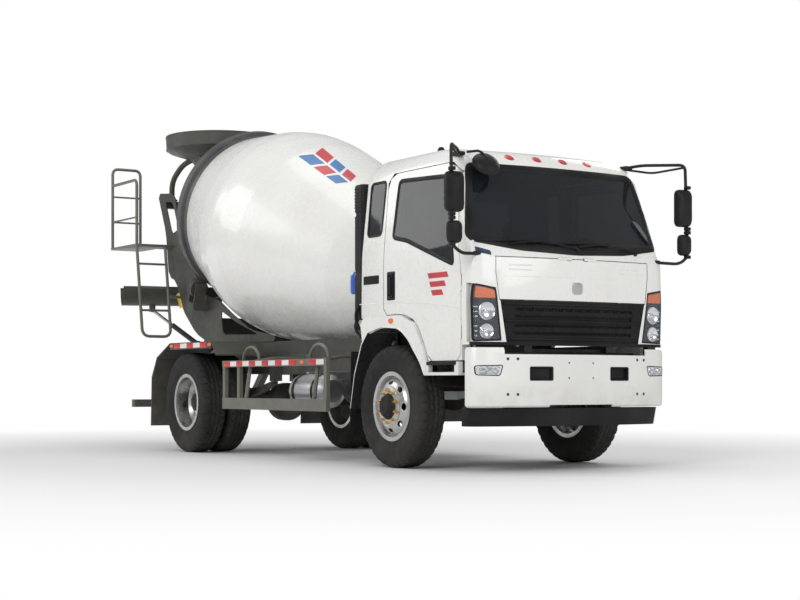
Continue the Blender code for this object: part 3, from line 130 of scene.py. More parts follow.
finishes = {
    # colour, blotch colour, metal, roughness low and high, grain size per metre, grain depth, extras
    # cabPaint's paintedShade colour is painted shade: near-black for faces inside the cab, under it and under
    # the wheel arches.
    "cabPaint": dict(colour=(0.83, 0.83, 0.805), blotch=(0.80, 0.795, 0.765), rough=(0.22, 0.36), grain=420,
                     depth=0.00004, coat=0.5, dust=(0.9, 0.5, 0.25), paintedShade=(0.030, 0.030, 0.031),
                     slot="cab_white"),
    "bumperPaint": dict(colour=(0.82, 0.82, 0.79), blotch=(0.78, 0.775, 0.745), rough=(0.28, 0.42), grain=420,
                        depth=0.00005, coat=0.35, dust=(0.7, 0.45, 0.3), slot="cab_white"),
    "drumPaint": dict(colour=(0.83, 0.83, 0.805), blotch=(0.795, 0.79, 0.76), rough=(0.20, 0.32), grain=60,
                      depth=0.00015, coat=0.35, slot="drum_white"),
    "drumTail": dict(colour=(0.060, 0.062, 0.066), blotch=(0.10, 0.10, 0.095), rough=(0.35, 0.6), grain=90,
                     depth=0.0005, slot="frame_grey"),
    "framePaint": dict(colour=(0.052, 0.053, 0.044), blotch=(0.078, 0.076, 0.063), rough=(0.36, 0.6),
                       grain=240,
                       depth=0.00012, dust=(1.1, 0.3, 0.45), slot="frame_grey"),
    "guardPaint": dict(colour=(0.135, 0.135, 0.112), blotch=(0.165, 0.160, 0.132), rough=(0.34, 0.52),
                       grain=240,
                       depth=0.0001, dust=(0.8, 0.3, 0.3), slot="guard_grey"),
    "blackPlastic": dict(colour=(0.012, 0.012, 0.013), blotch=(0.022, 0.022, 0.022), rough=(0.34, 0.5),
                         grain=900,
                         depth=0.00008, specular=0.15, slot="black_plastic"),
    "blackMetal": dict(colour=(0.010, 0.010, 0.010), blotch=(0.020, 0.019, 0.018), rough=(0.4, 0.7),
                       grain=200,
                       depth=0.0002, specular=0.3, slot="black_plastic"),
    "tyreRubber": dict(colour=(0.018, 0.018, 0.018), blotch=(0.034, 0.033, 0.031), rough=(0.62, 0.85),
                       grain=500,
                       depth=0.00015, dust=(0.45, 0.0, 0.12), specular=0.25, slot="tyre_rubber"),
    "rimMetal": dict(colour=(0.62, 0.62, 0.61), blotch=(0.44, 0.44, 0.43), rough=(0.22, 0.42), grain=140,
                     depth=0.00015, metal=1.0, slot="rim_silver"),
    "castIron": dict(colour=(0.055, 0.053, 0.050), blotch=(0.10, 0.085, 0.07), rough=(0.5, 0.75), grain=300,
                     depth=0.0003, metal=0.4, slot="cast_iron"),
    "tankAluminium": dict(colour=(0.52, 0.53, 0.54), blotch=(0.42, 0.42, 0.42), rough=(0.3, 0.5), grain=120,
                          depth=0.0001, metal=0.9, slot="tank_aluminium"),
    "rodChrome": dict(colour=(0.68, 0.68, 0.68), blotch=(0.55, 0.55, 0.55), rough=(0.08, 0.2), grain=200,
                      depth=0.00002, metal=1.0, slot="rod_chrome"),
    "brassNut": dict(colour=(0.78, 0.56, 0.25), blotch=(0.62, 0.42, 0.16), rough=(0.22, 0.4), grain=200,
                     depth=0.0001, metal=1.0, slot="rim_silver"),
    "tintedGlass": dict(colour=(0.012, 0.014, 0.017), blotch=(0.014, 0.016, 0.020), rough=(0.02, 0.05),
                        grain=30,
                        depth=0.00001, alpha=0.74, slot="tinted_glass"),
    "clearLens": dict(colour=(0.42, 0.45, 0.50), blotch=(0.36, 0.39, 0.44), rough=(0.02, 0.06), grain=60,
                      depth=0.0003, alpha=0.10, slot="lamp_glass"),
    "orangeLens": dict(colour=(0.86, 0.20, 0.03), blotch=(0.70, 0.13, 0.02), rough=(0.1, 0.2), grain=180,
                       depth=0.0005, coat=0.5, slot="lamp_glass"),
    "redLens": dict(colour=(0.55, 0.02, 0.02), blotch=(0.40, 0.01, 0.01), rough=(0.1, 0.22), grain=180,
                    depth=0.0004, coat=0.5, slot="lamp_glass"),
    "reflectorChrome": dict(colour=(0.88, 0.89, 0.92), blotch=(0.60, 0.63, 0.70), rough=(0.04, 0.12),
                            grain=35,
                            depth=0.002, metal=1.0, slot="lamp_glass"),
    "redPaint": dict(colour=(0.60, 0.028, 0.045), blotch=(0.50, 0.02, 0.035), rough=(0.28, 0.42), grain=60,
                     depth=0.0002, coat=0.3, slot="drum_white"),
    "bluePaint": dict(colour=(0.012, 0.18, 0.47), blotch=(0.01, 0.14, 0.38), rough=(0.28, 0.42), grain=60,
                      depth=0.0002, coat=0.3, slot="drum_white"),
    "redTape": dict(colour=(0.66, 0.02, 0.02), blotch=(0.5, 0.015, 0.015), rough=(0.25, 0.4), grain=700,
                    depth=0.0001, slot="lamp_glass"),
    "whiteTape": dict(colour=(0.82, 0.82, 0.82), blotch=(0.70, 0.70, 0.70), rough=(0.25, 0.4), grain=700,
                      depth=0.0001, slot="lamp_glass"),
    "yellowLabel": dict(colour=(0.80, 0.52, 0.05), blotch=(0.68, 0.42, 0.04), rough=(0.4, 0.55), grain=200,
                        depth=0.0001, slot="frame_grey"),
    "steelBlueFilm": dict(colour=(0.030, 0.055, 0.115), blotch=(0.022, 0.042, 0.09), rough=(0.25, 0.4),
                          grain=300,
                          depth=0.00005, slot="black_plastic"),
    "blueCan": dict(colour=(0.02, 0.12, 0.55), blotch=(0.015, 0.09, 0.42), rough=(0.3, 0.45), grain=200,
                    depth=0.0001, coat=0.3, slot="black_plastic"),
    "mirrorGlass": dict(colour=(0.86, 0.88, 0.9), blotch=(0.82, 0.84, 0.86), rough=(0.02, 0.05), grain=20,
                        depth=0.00001, metal=1.0, slot="rod_chrome"),
    "seatCloth": dict(colour=(0.165, 0.165, 0.165), blotch=(0.13, 0.13, 0.135), rough=(0.8, 0.95), grain=900,
                      depth=0.0006, sheen=0.35, slot="seat_fabric"),
}
materials = {}


def finishMaterial(name, spec):
    # Colour = paint mixed towards a blotch colour by slow noise, then towards dust below a height, then
    # towards painted shade on the faces marked for it.
    # Roughness runs between two values by middle noise, and bump follows a fine grain.
    material = bpy.data.materials.new(name)
    material.use_nodes = True
    tree = material.node_tree
    make = tree.nodes.new
    wire = tree.links.new
    shader = tree.nodes["Principled BSDF"]
    place = make("ShaderNodeTexCoord").outputs["Object"]

    def noise(scale, detail):
        # Even noise in object space.
        node = make("ShaderNodeTexNoise")
        node.inputs["Scale"].default_value = scale
        node.inputs["Detail"].default_value = detail
        wire(place, node.inputs["Vector"])
        return node.outputs["Fac"]

    def spread(value, low, high, outLow, outHigh):
        # One range of a value carried linearly onto another.
        node = make("ShaderNodeMapRange")
        node.inputs["From Min"].default_value = low
        node.inputs["From Max"].default_value = high
        node.inputs["To Min"].default_value = outLow
        node.inputs["To Max"].default_value = outHigh
        wire(value, node.inputs["Value"])
        return node.outputs["Result"]

    def mixed(amount, first, second):
        # Two colours blended by an amount.
        node = make("ShaderNodeMix")
        node.data_type = "RGBA"
        wire(amount, node.inputs["Factor"])
        for socket, value in ((node.inputs["A"], first), (node.inputs["B"], second)):
            if isinstance(value, tuple):
                socket.default_value = (*value, 1)
            else:
                wire(value, socket)
        return node.outputs["Result"]

    colour = mixed(spread(noise(2.3, 5), 0.42, 0.68, 0, 1), spec["colour"], spec["blotch"])
    if "dust" in spec:
        high, low, amount = spec["dust"]
        split = make("ShaderNodeSeparateXYZ")
        wire(place, split.inputs["Vector"])
        height = spread(split.outputs["Z"], low, high, amount, 0)
        cloud = spread(noise(9, 6), 0.35, 0.7, 0.25, 1)
        product = make("ShaderNodeMath")
        product.operation = "MULTIPLY"
        wire(height, product.inputs[0])
        wire(cloud, product.inputs[1])
        colour = mixed(product.outputs["Value"], colour, (0.20, 0.185, 0.155))
    # Painted shade: the colour is taken to near-black on faces marked as facing into the piece or lying under
    # the cab.
    if "paintedShade" in spec:
        inside = make("ShaderNodeAttribute")
        inside.attribute_name = "paintedShade"
        colour = mixed(inside.outputs["Fac"], colour, spec["paintedShade"])
    wire(colour, shader.inputs["Base Color"])
    wire(spread(noise(17, 4), 0.3, 0.7, *spec["rough"]), shader.inputs["Roughness"])
    bump = make("ShaderNodeBump")
    bump.inputs["Strength"].default_value = 1
    bump.inputs["Distance"].default_value = spec["depth"]
    wire(noise(spec["grain"], 3), bump.inputs["Height"])
    wire(bump.outputs["Normal"], shader.inputs["Normal"])
    shader.inputs["Metallic"].default_value = spec.get("metal", 0)
    shader.inputs["Specular IOR Level"].default_value = spec.get("specular", 0.5)
    shader.inputs["Coat Weight"].default_value = spec.get("coat", 0)
    shader.inputs["Coat Roughness"].default_value = 0.06
    shader.inputs["Sheen Weight"].default_value = spec.get("sheen", 0)
    shader.inputs["Alpha"].default_value = spec.get("alpha", 1)
    materials[name] = material


for finishName, finishSpec in finishes.items():
    finishMaterial(finishName, finishSpec)
print("materials made:", len(materials))


# Surfaces on grids.

def gridShape(points, closeU=False, closeV=True, capped=False):
    # Quads between neighbouring rows (u) and columns (v) of a grid of points, wrapped where closed.
    rows, columns = points.shape[:2]
    lines = np.arange(rows if closeU else rows - 1)
    ranks = np.arange(columns if closeV else columns - 1)
    i, j = np.meshgrid(lines, ranks, indexing="ij")
    below, beside = (i + 1) % rows, (j + 1) % columns
    quads = np.stack([i * columns + j, i * columns + beside, below * columns + beside, below * columns + j],
                     -1)
    faces = quads.reshape(-1, 4).tolist()
    if capped:
        faces.append(list(range(columns))[::-1])
        faces.append(list(range((rows - 1) * columns, rows * columns)))
    return points.reshape(-1, 3), faces


def axisFrame(axis):
    # Three unit directions: along the axis, across it, and their cross product.
    along = np.array(axis, float) / np.linalg.norm(axis)
    helper = np.array((0, 0, 1.0)) if abs(along[2]) < 0.9 else np.array((1.0, 0, 0))
    across = np.cross(helper, along)
    across /= np.linalg.norm(across)
    return along, across, np.cross(along, across)


def spun(profile, centre, axis, steps=64, closed=False):
    # A profile of (radius, distance along the axis) carried round the axis by an angle.
    profile = np.array(profile, float)
    along, across, up = axisFrame(axis)
    angle = np.linspace(0, 2 * math.pi, steps, endpoint=False)
    ring = np.cos(angle)[:, None] * across + np.sin(angle)[:, None] * up
    points = np.array(centre) + profile[:, 1, None, None] * along + profile[:, 0, None, None] * ring[None]
    return gridShape(points, closeU=closed, capped=not closed)


def tubeAlong(path, radius, sides=12, closed=False):
    # Circles square to the path: the frame is the path's flattest direction and its cross product.
    path = np.array(path, float)
    ahead = np.roll(path, -1, 0) - np.roll(path, 1, 0)
    if not closed:
        ahead[0], ahead[-1] = path[1] - path[0], path[-1] - path[-2]
    ahead /= np.linalg.norm(ahead, axis=1)[:, None]
    flat = np.linalg.svd(path - path.mean(0))[2][-1]
    across = np.cross(ahead, flat)
    across /= np.linalg.norm(across, axis=1)[:, None]
    up = np.cross(across, ahead)
    angle = np.linspace(0, 2 * math.pi, sides, endpoint=False)[None, :, None]
    radius = np.broadcast_to(np.array(radius, float), len(path))[:, None, None]
    points = path[:, None] + radius * (np.cos(angle) * across[:, None] + np.sin(angle) * up[:, None])
    return gridShape(points, closeU=closed, capped=not closed)


def roundedPath(points, radius, steps=6, closed=False):
    # Each corner replaced by a parabola that starts and ends radius away from it.
    points = np.array(points, float)
    found = []
    share = np.linspace(0, 1, steps + 1)[:, None]
    for i, corner in enumerate(points):
        if not closed and i in (0, len(points) - 1):
            found.append(corner[None])
            continue
        before, after = points[i - 1] - corner, points[(i + 1) % len(points)] - corner
        reach = min(radius, np.linalg.norm(before) * 0.49, np.linalg.norm(after) * 0.49)
        start = corner + before / np.linalg.norm(before) * reach
        end = corner + after / np.linalg.norm(after) * reach
        found.append(start * (1 - share) ** 2 + corner * 2 * share * (1 - share) + end * share ** 2)
    return np.concatenate(found)


def curveThrough(points, count):
    # A Catmull-Rom curve through the points, read at even steps.
    points = np.array(points, float)
    padded = np.concatenate([2 * points[:1] - points[1:2], points, 2 * points[-1:] - points[-2:-1]])
    where = np.linspace(0, len(points) - 1.0001, count)
    index = where.astype(int)
    t = (where - index)[:, None]
    p0, p1, p2, p3 = padded[index], padded[index + 1], padded[index + 2], padded[index + 3]
    return 0.5 * (2 * p1 + (p2 - p0) * t + (2 * p0 - 5 * p1 + 4 * p2 - p3) * t ** 2
                  + (3 * p1 - p0 - 3 * p2 + p3) * t ** 3)


def evenOutline(points, count):
    # The closed outline read at equal steps of its length.
    loop = np.concatenate([points, points[:1]])
    length = np.concatenate([[0], np.cumsum(np.linalg.norm(np.diff(loop, axis=0), axis=1))])
    where = np.linspace(0, length[-1], count, endpoint=False)
    return np.stack([np.interp(where, length, loop[:, k]) for k in range(loop.shape[1])], 1)


def insetOutline(points, distance):
    # Every point moved inwards along the outline's own normal.
    ahead = np.roll(points, -1, 0) - np.roll(points, 1, 0)
    normal = np.stack([-ahead[:, 1], ahead[:, 0]], 1) / np.linalg.norm(ahead, axis=1)[:, None]
    area = (points[:, 0] * np.roll(points[:, 1], -1) - np.roll(points[:, 0], -1) * points[:, 1]).sum()
    return points + normal * distance * math.copysign(1, area)


def block(low, high, edge=0.004):
    # A rounded rectangle carried upwards through four levels, drawn in by the edge at the ends.
    (x0, y0, z0), (x1, y1, z1) = np.minimum(low, high), np.maximum(low, high)
    edge = min(edge, (x1 - x0) * 0.45, (y1 - y0) * 0.45, (z1 - z0) * 0.45)
    angle = np.array([0, 45, 90, 90, 135, 180, 180, 225, 270, 270, 315, 360]) * math.pi / 180
    cx = np.repeat([x1 - edge, x0 + edge, x0 + edge, x1 - edge], 3)
    cy = np.repeat([y1 - edge, y1 - edge, y0 + edge, y0 + edge], 3)
    rows = [np.stack([cx + (edge - inset) * np.cos(angle), cy + (edge - inset) * np.sin(angle),
                      np.full(12, z)], 1)
            for inset, z in ((edge, z0), (edge * 0.3, z0 + edge * 0.3), (0, z0 + edge),
                             (0, z1 - edge), (edge * 0.3, z1 - edge * 0.3), (edge, z1))]
    return gridShape(np.stack(rows), capped=True)


def buildPiece(name, shapes, finish, body, replaces=(), smooth=32, bevel=0.0, thickness=0.0):
    # All shapes joined into one mesh, with its finish, its body and the plain solids it takes over from.
    faces = []
    offset = 0
    for points, shapeFaces in shapes:
        faces += [[k + offset for k in face] for face in shapeFaces]
        offset += len(points)
    mesh = bpy.data.meshes.new(name)
    mesh.from_pydata(np.concatenate([shape[0] for shape in shapes]).tolist(), [], faces)
    bm = bmesh.new()
    bm.from_mesh(mesh)
    bmesh.ops.remove_doubles(bm, verts=bm.verts, dist=2e-6)
    bmesh.ops.recalc_face_normals(bm, faces=bm.faces)
    bm.to_mesh(mesh)
    bm.free()
    obj = bpy.data.objects.new(name, mesh)
    scene.collection.objects.link(obj)
    dress(obj, finish, smooth, bevel)
    if thickness:
        wall = obj.modifiers.new("wall", "SOLIDIFY")
        wall.thickness = thickness
        wall.offset = 0
    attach(obj, body)
    if replaces:
        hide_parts(*replaces)
    return obj


def dress(obj, finish, smooth, bevel):
    # Smooth faces with sharp edges past an angle, and rounded edges where a width is given.
    obj.data.materials.clear()
    obj.data.materials.append(materials[finish])
    obj.data.shade_smooth()
    obj.data.set_sharp_from_angle(angle=math.radians(smooth))
    if bevel:
        edge = obj.modifiers.new("edge", "BEVEL")
        edge.width = bevel
        edge.segments = 2
        edge.limit_method = "ANGLE"
        edge.angle_limit = math.radians(38)
        edge.harden_normals = True


# A face that looks at its piece's centre is inside it, so it takes painted shade: a near-black colour
# standing in for the shade inside and under the piece.
shadeCentres = {
    "cab_shell": (axleX + 0.3, 0.0, 1.8),
    "door_right": (axleX + 0.4, 0.0, 1.6),
    "door_left": (axleX + 0.4, 0.0, 1.6),
    "wheel_arch_right": (axleX, -0.875, 0.485),
    "wheel_arch_left": (axleX, 0.875, 0.485),
}


def markPaintedShade(bm, node, centre):
    # Painted shade mask: 1 on a face whose normal points back to the centre, or on the cab's underside; 0
    # elsewhere.
    layer = bm.faces.layers.float.new("paintedShade")
    middle = Vector(centre)
    for face in bm.faces:
        spot = face.calc_center_median()
        inside = (spot - middle).dot(face.normal) < -0.02
        below = node == "cab_shell" and face.normal.z < -0.5 and spot.z < 1.45
        low = node == "cab_shell" and spot.z < 1.2 and abs(spot.y) < 0.9
        behind = low and abs(face.normal.y) < 0.3 and spot.x < axleX + 1
        if node.startswith("door"):
            inside = inside and abs(face.normal.y) > 0.5
        face[layer] = 1.0 if inside or below or behind else 0.0


def narrowBeam(bm):
    # The front beam's ends are drawn in, so that the panel under the bumper wraps them.
    for vertex in bm.verts:
        if vertex.co.x > axleX + 0.85 and vertex.co.z < 0.5:
            vertex.co.y = min(max(vertex.co.y, -0.86), 0.86)
            vertex.co.x = min(vertex.co.x, axleX + 0.975)


def flushFront(bm):
    # The brackets' ends are pushed back to the bumper's own face.
    for vertex in bm.verts:
        face = bumperFront(np.array(vertex.co.y), np.array(vertex.co.z))[0]
        if abs(vertex.co.y) < 0.8 and 0.5 < vertex.co.z < 0.9 and vertex.co.x > face:
            vertex.co.x = face


def softened(node, finish, bevel=0.003, smooth=32, name=None):
    # A copy of the node with its triangles merged into flat faces and its edges rounded.
    source = cadNodes[node]
    mesh = source.data.copy()
    bm = bmesh.new()
    bm.from_mesh(mesh)
    bmesh.ops.remove_doubles(bm, verts=bm.verts, dist=1e-5)
    bmesh.ops.dissolve_limit(bm, angle_limit=math.radians(0.6), verts=bm.verts, edges=bm.edges)
    for edge in bm.edges:
        edge.smooth = True
    # Faces inside or under the piece are marked for painted shade.
    if node in shadeCentres:
        markPaintedShade(bm, node, shadeCentres[node])
    if node == "chassis_frame":
        narrowBeam(bm)
    if node == "front_bumper":
        flushFront(bm)
    for face in bm.faces:
        face.smooth = True
    bm.to_mesh(mesh)
    bm.free()
    for layer in [a.name for a in mesh.attributes if a.name in ("custom_normal", "sharp_edge")]:
        mesh.attributes.remove(mesh.attributes[layer])
    obj = bpy.data.objects.new(name or node + "_finished", mesh)
    scene.collection.objects.link(obj)
    dress(obj, finish, smooth, bevel)
    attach(obj, source["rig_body"])
    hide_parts(node)
    return obj


# The cab's outer form, which its trim follows.

cabLevels = np.array([
    # height, rear, front, half width, bow, front corner, rear corner
    (0.78, -0.55, 1.105, 0.94, 0.045, 0.1, 0.05),
    (1.29, -0.56, 1.125, 0.94, 0.05, 0.1, 0.05),
    (1.6, -0.56, 1.13, 0.94, 0.06, 0.11, 0.06),
    (1.7, -0.56, 1.095, 0.938, 0.07, 0.12, 0.06),
    (2.3, -0.55, 0.865, 0.888, 0.06, 0.1, 0.07),
    (2.38, -0.54, 0.815, 0.872, 0.06, 0.11, 0.08),
    (2.44, -0.515, 0.735, 0.84, 0.06, 0.12, 0.09),
    (2.475, -0.46, 0.62, 0.78, 0.06, 0.14, 0.1),
    (2.49, -0.36, 0.46, 0.66, 0.06, 0.14, 0.1),
])


def frontFace(levels):
    # x as a function of (y, z): the middle bows back with y, and each corner is an arc.
    def surface(y, z):
        front, half, bow, nose = [np.interp(z, levels[:, 0], levels[:, k]) for k in (2, 3, 4, 5)]
        reach = half - nose
        share = np.interp(np.clip(np.abs(y) / reach, 0, 1), [0, 0.33, 0.66, 1], [0, 0.1089, 0.4356, 1])
        corner = np.clip((np.abs(y) - reach) / nose, 0, 1)
        drop = np.interp(corner, [0, 0.5, 0.866, 1], [0, 0.134, 0.5, 1]) * nose
        return np.stack([front - bow * share - drop + axleX, y, z], -1)
    return surface


def sideFace(side):
    # y as a function of (x, z): the half width at that height.
    def surface(x, z):
        half = np.interp(z, cabLevels[:, 0], cabLevels[:, 3])
        return np.stack([x + axleX, side * half, z], -1)
    return surface


def wallAlong(y):
    # A flat wall along the truck at one y, as a function of (x, z).
    def surface(x, z):
        return np.stack([x + axleX, y + 0 * x, z], -1)
    return surface


def wallAcross(x):
    # A flat wall across the truck at one x, as a function of (y, z).
    def surface(y, z):
        return np.stack([axleX + x + 0 * y, y, z], -1)
    return surface


def sunk(surface, depth):
    # The same surface moved straight back along x.
    def behind(a, b):
        return surface(a, b) - (depth, 0, 0)
    return behind


def lifted(surface, a, b, height, outward):
    # The surface point moved along its normal, from the cross product of its two slopes.
    step = 0.002
    slopeA = surface(a + step, b) - surface(a - step, b)
    slopeB = surface(a, b + step) - surface(a, b - step)
    normal = np.cross(slopeA, slopeB)
    normal /= np.linalg.norm(normal, axis=-1)[..., None]
    normal *= np.sign((normal * outward).sum(-1))[..., None]
    return surface(a, b) + normal * np.asarray(height)[..., None]


cabFront = frontFace(cabLevels)
bumperFront = frontFace(np.array([(z, -0.55, 1.196 - d, 0.95 - d, 0.1, 0.13, 0.05)
                                  for z, d in ((0.475, 0.03), (0.5, 0), (0.91, 0), (0.935, 0.01))]))
underFront = frontFace(np.array([(0.34, -0.55, 1.135, 0.91, 0.1, 0.13, 0.05),
                                 (0.48, -0.55, 1.160, 0.92, 0.1, 0.13, 0.05)]))
forward = np.array((1.0, 0, 0))


def bandOn(outer, inner, surface, outward, section):
    # A ring between two outlines; section is (share from outer to inner, height) round the band.
    rows = []
    for share, height in section:
        flat = outer * (1 - share) + inner * share
        rows.append(lifted(surface, flat[:, 0], flat[:, 1], np.full(len(flat), height), outward))
    return gridShape(np.stack(rows), closeU=True)


def plateOn(outline, surface, outward, top, bottom, rings=7, edge=0.06):
    # The outline shrunk step by step to its middle, once for the top and once for the underside.
    middle = outline.mean(0)
    shares = np.linspace(0, 1 - edge, rings)
    rows = []
    for share, height in [*[(t, top) for t in shares], (1, top - (top - bottom) * 0.35), (1, bottom),
                          *[(t, bottom) for t in shares[::-1]]]:
        flat = middle + (outline - middle) * share
        rows.append(lifted(surface, flat[:, 0], flat[:, 1], np.full(len(flat), height), outward))
    return gridShape(np.stack(rows))


sealSection = [(0, -0.006), (0, 0.002), (0.2, 0.005), (0.8, 0.005), (1, 0.001), (1, -0.006)]


# Carried-over solids.

softNodes = {
    "framePaint": {"chassis_frame": 0.003, "front_axle": 0.003, "rear_axle": 0.003, "mixer_subframe": 0.003,
                   "rear_pedestal": 0.0025, "underrun_bar": 0.004, "collector_funnel": 0.002,
                   "chute_turret": 0.003, "jack_barrel": 0.002, "rear_mudguard_right": 0.002,
                   "rear_mudguard_left": 0.002},
    "guardPaint": {"side_guard_right": 0.004, "side_guard_left": 0.004},
    "cabPaint": {"cab_shell": 0.003, "door_right": 0.004, "door_left": 0.004, "front_flap": 0.004,
                 "wheel_arch_right": 0.003, "wheel_arch_left": 0.003},
    "bumperPaint": {"front_bumper": 0.004},
    "blackPlastic": {"front_grille": 0.003, "dashboard": 0.012},
    "blackMetal": {"exhaust_silencer": 0.006},
    "castIron": {"engine_block": 0.012, "gearbox_propshaft": 0.01, "drum_drive": 0.006,
                 "knuckle_right": 0.003,
                 "knuckle_left": 0.003, "support_roller_right": 0.004, "support_roller_left": 0.004},
    "tankAluminium": {"fuel_tank": 0.01, "air_tank": 0.004},
    "rodChrome": {"jack_rod": 0.001},
    "tintedGlass": {"windscreen": 0.0, "door_glass_right": 0.0, "door_glass_left": 0.0},
}
for finishName, group in softNodes.items():
    for nodeName, nodeBevel in group.items():
        softened(nodeName, finishName, nodeBevel)
print("solids finished")


# Wheels.

tyre = {
    "steps": 320,
    "lugs": 40,
    "treadDepth": 0.011,
    "profile": [
        # radius, half width
        (0.2545, 0.0775), (0.262, 0.088), (0.275, 0.093), (0.3, 0.0985), (0.325, 0.108),
        (0.35, 0.1145), (0.385, 0.1170), (0.42, 0.1172), (0.44, 0.1135), (0.458, 0.1065),
        (0.471, 0.0995), (0.478, 0.091), (0.4835, 0.078), (0.4848, 0.05), (0.485, 0.0),
    ],
}


def tyreShape(centre, axis):
    # The section is read at even steps, then its tread is lowered by grooves: three zigzag rings and
    # slots across the shoulders, each a smooth dip in (angle, width).
    half = curveThrough(tyre["profile"], 34)
    section = np.concatenate([half, half[-2::-1] * (1, -1)])
    angle = np.linspace(0, 2 * math.pi, tyre["steps"], endpoint=False)
    radius = section[:, 0, None] + 0 * angle
    width = section[:, 1, None] + 0 * angle
    turn = angle * tyre["lugs"]

    def dip(distance, size):
        # 1 inside a groove of this size, falling to 0 at its sides.
        return np.clip(1.3 - np.abs(distance) / size, 0, 1)

    zigzag = 0.006 * np.abs((turn / math.pi) % 2 - 1)
    rings = [dip(width - ring - (zigzag - 0.003), 0.005) for ring in (-0.042, 0.0, 0.042)]
    phase = np.where(width > 0, 0, math.pi)
    shoulder = np.clip((np.abs(width) - 0.056) / 0.008, 0, 1)
    slots = dip(((turn + phase) / (2 * math.pi)) % 1 - 0.5, 0.13) * shoulder
    sipes = 0.5 * dip(((turn * 2) / (2 * math.pi)) % 1 - 0.5, 0.1) * (np.abs(width) < 0.034)
    tread = np.clip((radius - 0.452) / 0.012, 0, 1)
    groove = np.maximum.reduce([*rings, slots, sipes]) * tread * tyre["treadDepth"]
    ribs = 0.0012 * (np.abs(radius - 0.325) < 0.004) + 0.0016 * (np.abs(radius - 0.432) < 0.004)
    radius = radius - groove
    width = width + np.sign(width) * ribs - np.sign(width) * groove * 0.25
    along, across, up = axisFrame(axis)
    ring = np.cos(angle)[:, None] * across + np.sin(angle)[:, None] * up
    points = np.array(centre) + width[..., None] * along + radius[..., None] * ring[None]
    return gridShape(points, closeU=True)


def discShape(centre, axis, inner, outer, curve, holes, holeSize):
    # Ring sectors, one round each hand hole: points run from the oval's edge out to the sector's border.
    # The disc's height is a function of its radius.
    count, rings = 48, 7
    phi = np.linspace(0, 2 * math.pi, count, endpoint=False)
    border = np.stack([np.cos(phi), np.sin(phi)]) / np.maximum(np.abs(np.cos(phi)), np.abs(np.sin(phi)))
    half = np.array([math.pi / holes, (outer - inner) / 2])
    middle = (outer + inner) / 2
    oval = np.stack([np.cos(phi) * holeSize[0] / middle, np.sin(phi) * holeSize[1]])
    share = np.linspace(0, 1, rings)[:, None, None]
    flat = oval * (1 - share) + border * half[:, None] * share
    along, across, up = axisFrame(axis)
    shapes = []
    for k in range(holes):
        angle = flat[:, 0] + 2 * math.pi * k / holes
        radius = middle + flat[:, 1]
        height = np.interp(radius, [p[0] for p in curve], [p[1] for p in curve])
        ring = np.cos(angle)[..., None] * across + np.sin(angle)[..., None] * up
        points = np.array(centre) + height[..., None] * along + radius[..., None] * ring
        shapes.append(gridShape(points))
    return shapes


def nutRing(centre, axis, radius, height, count, size, tall):
    # Nuts spun about their own axes at equal angles on a circle.
    along, across, up = axisFrame(axis)
    shapes = []
    for k in range(count):
        a = 2 * math.pi * (k + 0.5) / count
        spot = np.array(centre) + radius * (math.cos(a) * across + math.sin(a) * up) + along * height
        shapes.append(spun([(0, 0), (size * 1.5, 0), (size * 1.5, 0.003), (size, 0.004), (size, tall * 0.6),
                            (size * 0.55, tall * 0.62), (size * 0.5, tall), (0, tall)], spot, axis, 12))
    return shapes


barrel = [(0.244, 0.1), (0.2765, 0.1), (0.2765, 0.094), (0.268, 0.088), (0.256, 0.084), (0.2535, 0.07),
          (0.2535, -0.07), (0.256, -0.084), (0.2765, -0.094), (0.2765, -0.1), (0.244, -0.1), (0.240, -0.08),
          (0.238, 0.0), (0.240, 0.08)]


def frontWheel(name, side):
    # Tyre, barrel, dished disc, hub and nuts: each a profile carried round the axle.
    body = name + "_front_wheel"
    centre = (axleX, side * 0.875, hubZ)
    axis = (0, side, 0)
    buildPiece("front_tyre_tread_" + name, [tyreShape(centre, axis)], "tyreRubber", body,
               ["front_tyre_" + name], smooth=40)
    curve = [(0.13, 0.122), (0.17, 0.116), (0.2, 0.1), (0.225, 0.07), (0.242, 0.05)]
    shapes = [spun(barrel, centre, axis, 96, closed=True)]
    shapes += discShape(centre, axis, 0.158, 0.222, curve, 8, (0.030, 0.017))
    outerRing = [(0.222, 0.0736), (0.232, 0.062), (0.2405, 0.052)]
    innerRing = [(0.158, 0.1180), (0.15, 0.120), (0.105, 0.126)]
    for ring in (outerRing, innerRing):
        points = np.array(ring)
        back = points[::-1] - (0, 0.008)
        shapes.append(spun(np.concatenate([points + (0, 0.003), back]), centre, axis, 96, closed=True))
    rim = buildPiece("front_wheel_disc_" + name, shapes, "rimMetal", body, ["front_rim_" + name])
    wall = rim.modifiers.new("wall", "SOLIDIFY")
    wall.thickness = 0.0035
    wall.offset = -1
    buildPiece("front_wheel_nuts_" + name, nutRing(centre, axis, 0.128, 0.124, 10, 0.0125, 0.034),
               "brassNut", body)
    buildPiece("front_wheel_hub_" + name,
               [spun([(0, 0.05), (0.104, 0.05), (0.104, 0.13), (0.094, 0.138), (0.084, 0.16), (0.066, 0.168),
                      (0.062, 0.173), (0.05, 0.175), (0, 0.175)], centre, axis, 48)]
               + nutRing(centre, axis, 0.078, 0.155, 6, 0.006, 0.012), "blackMetal", body)


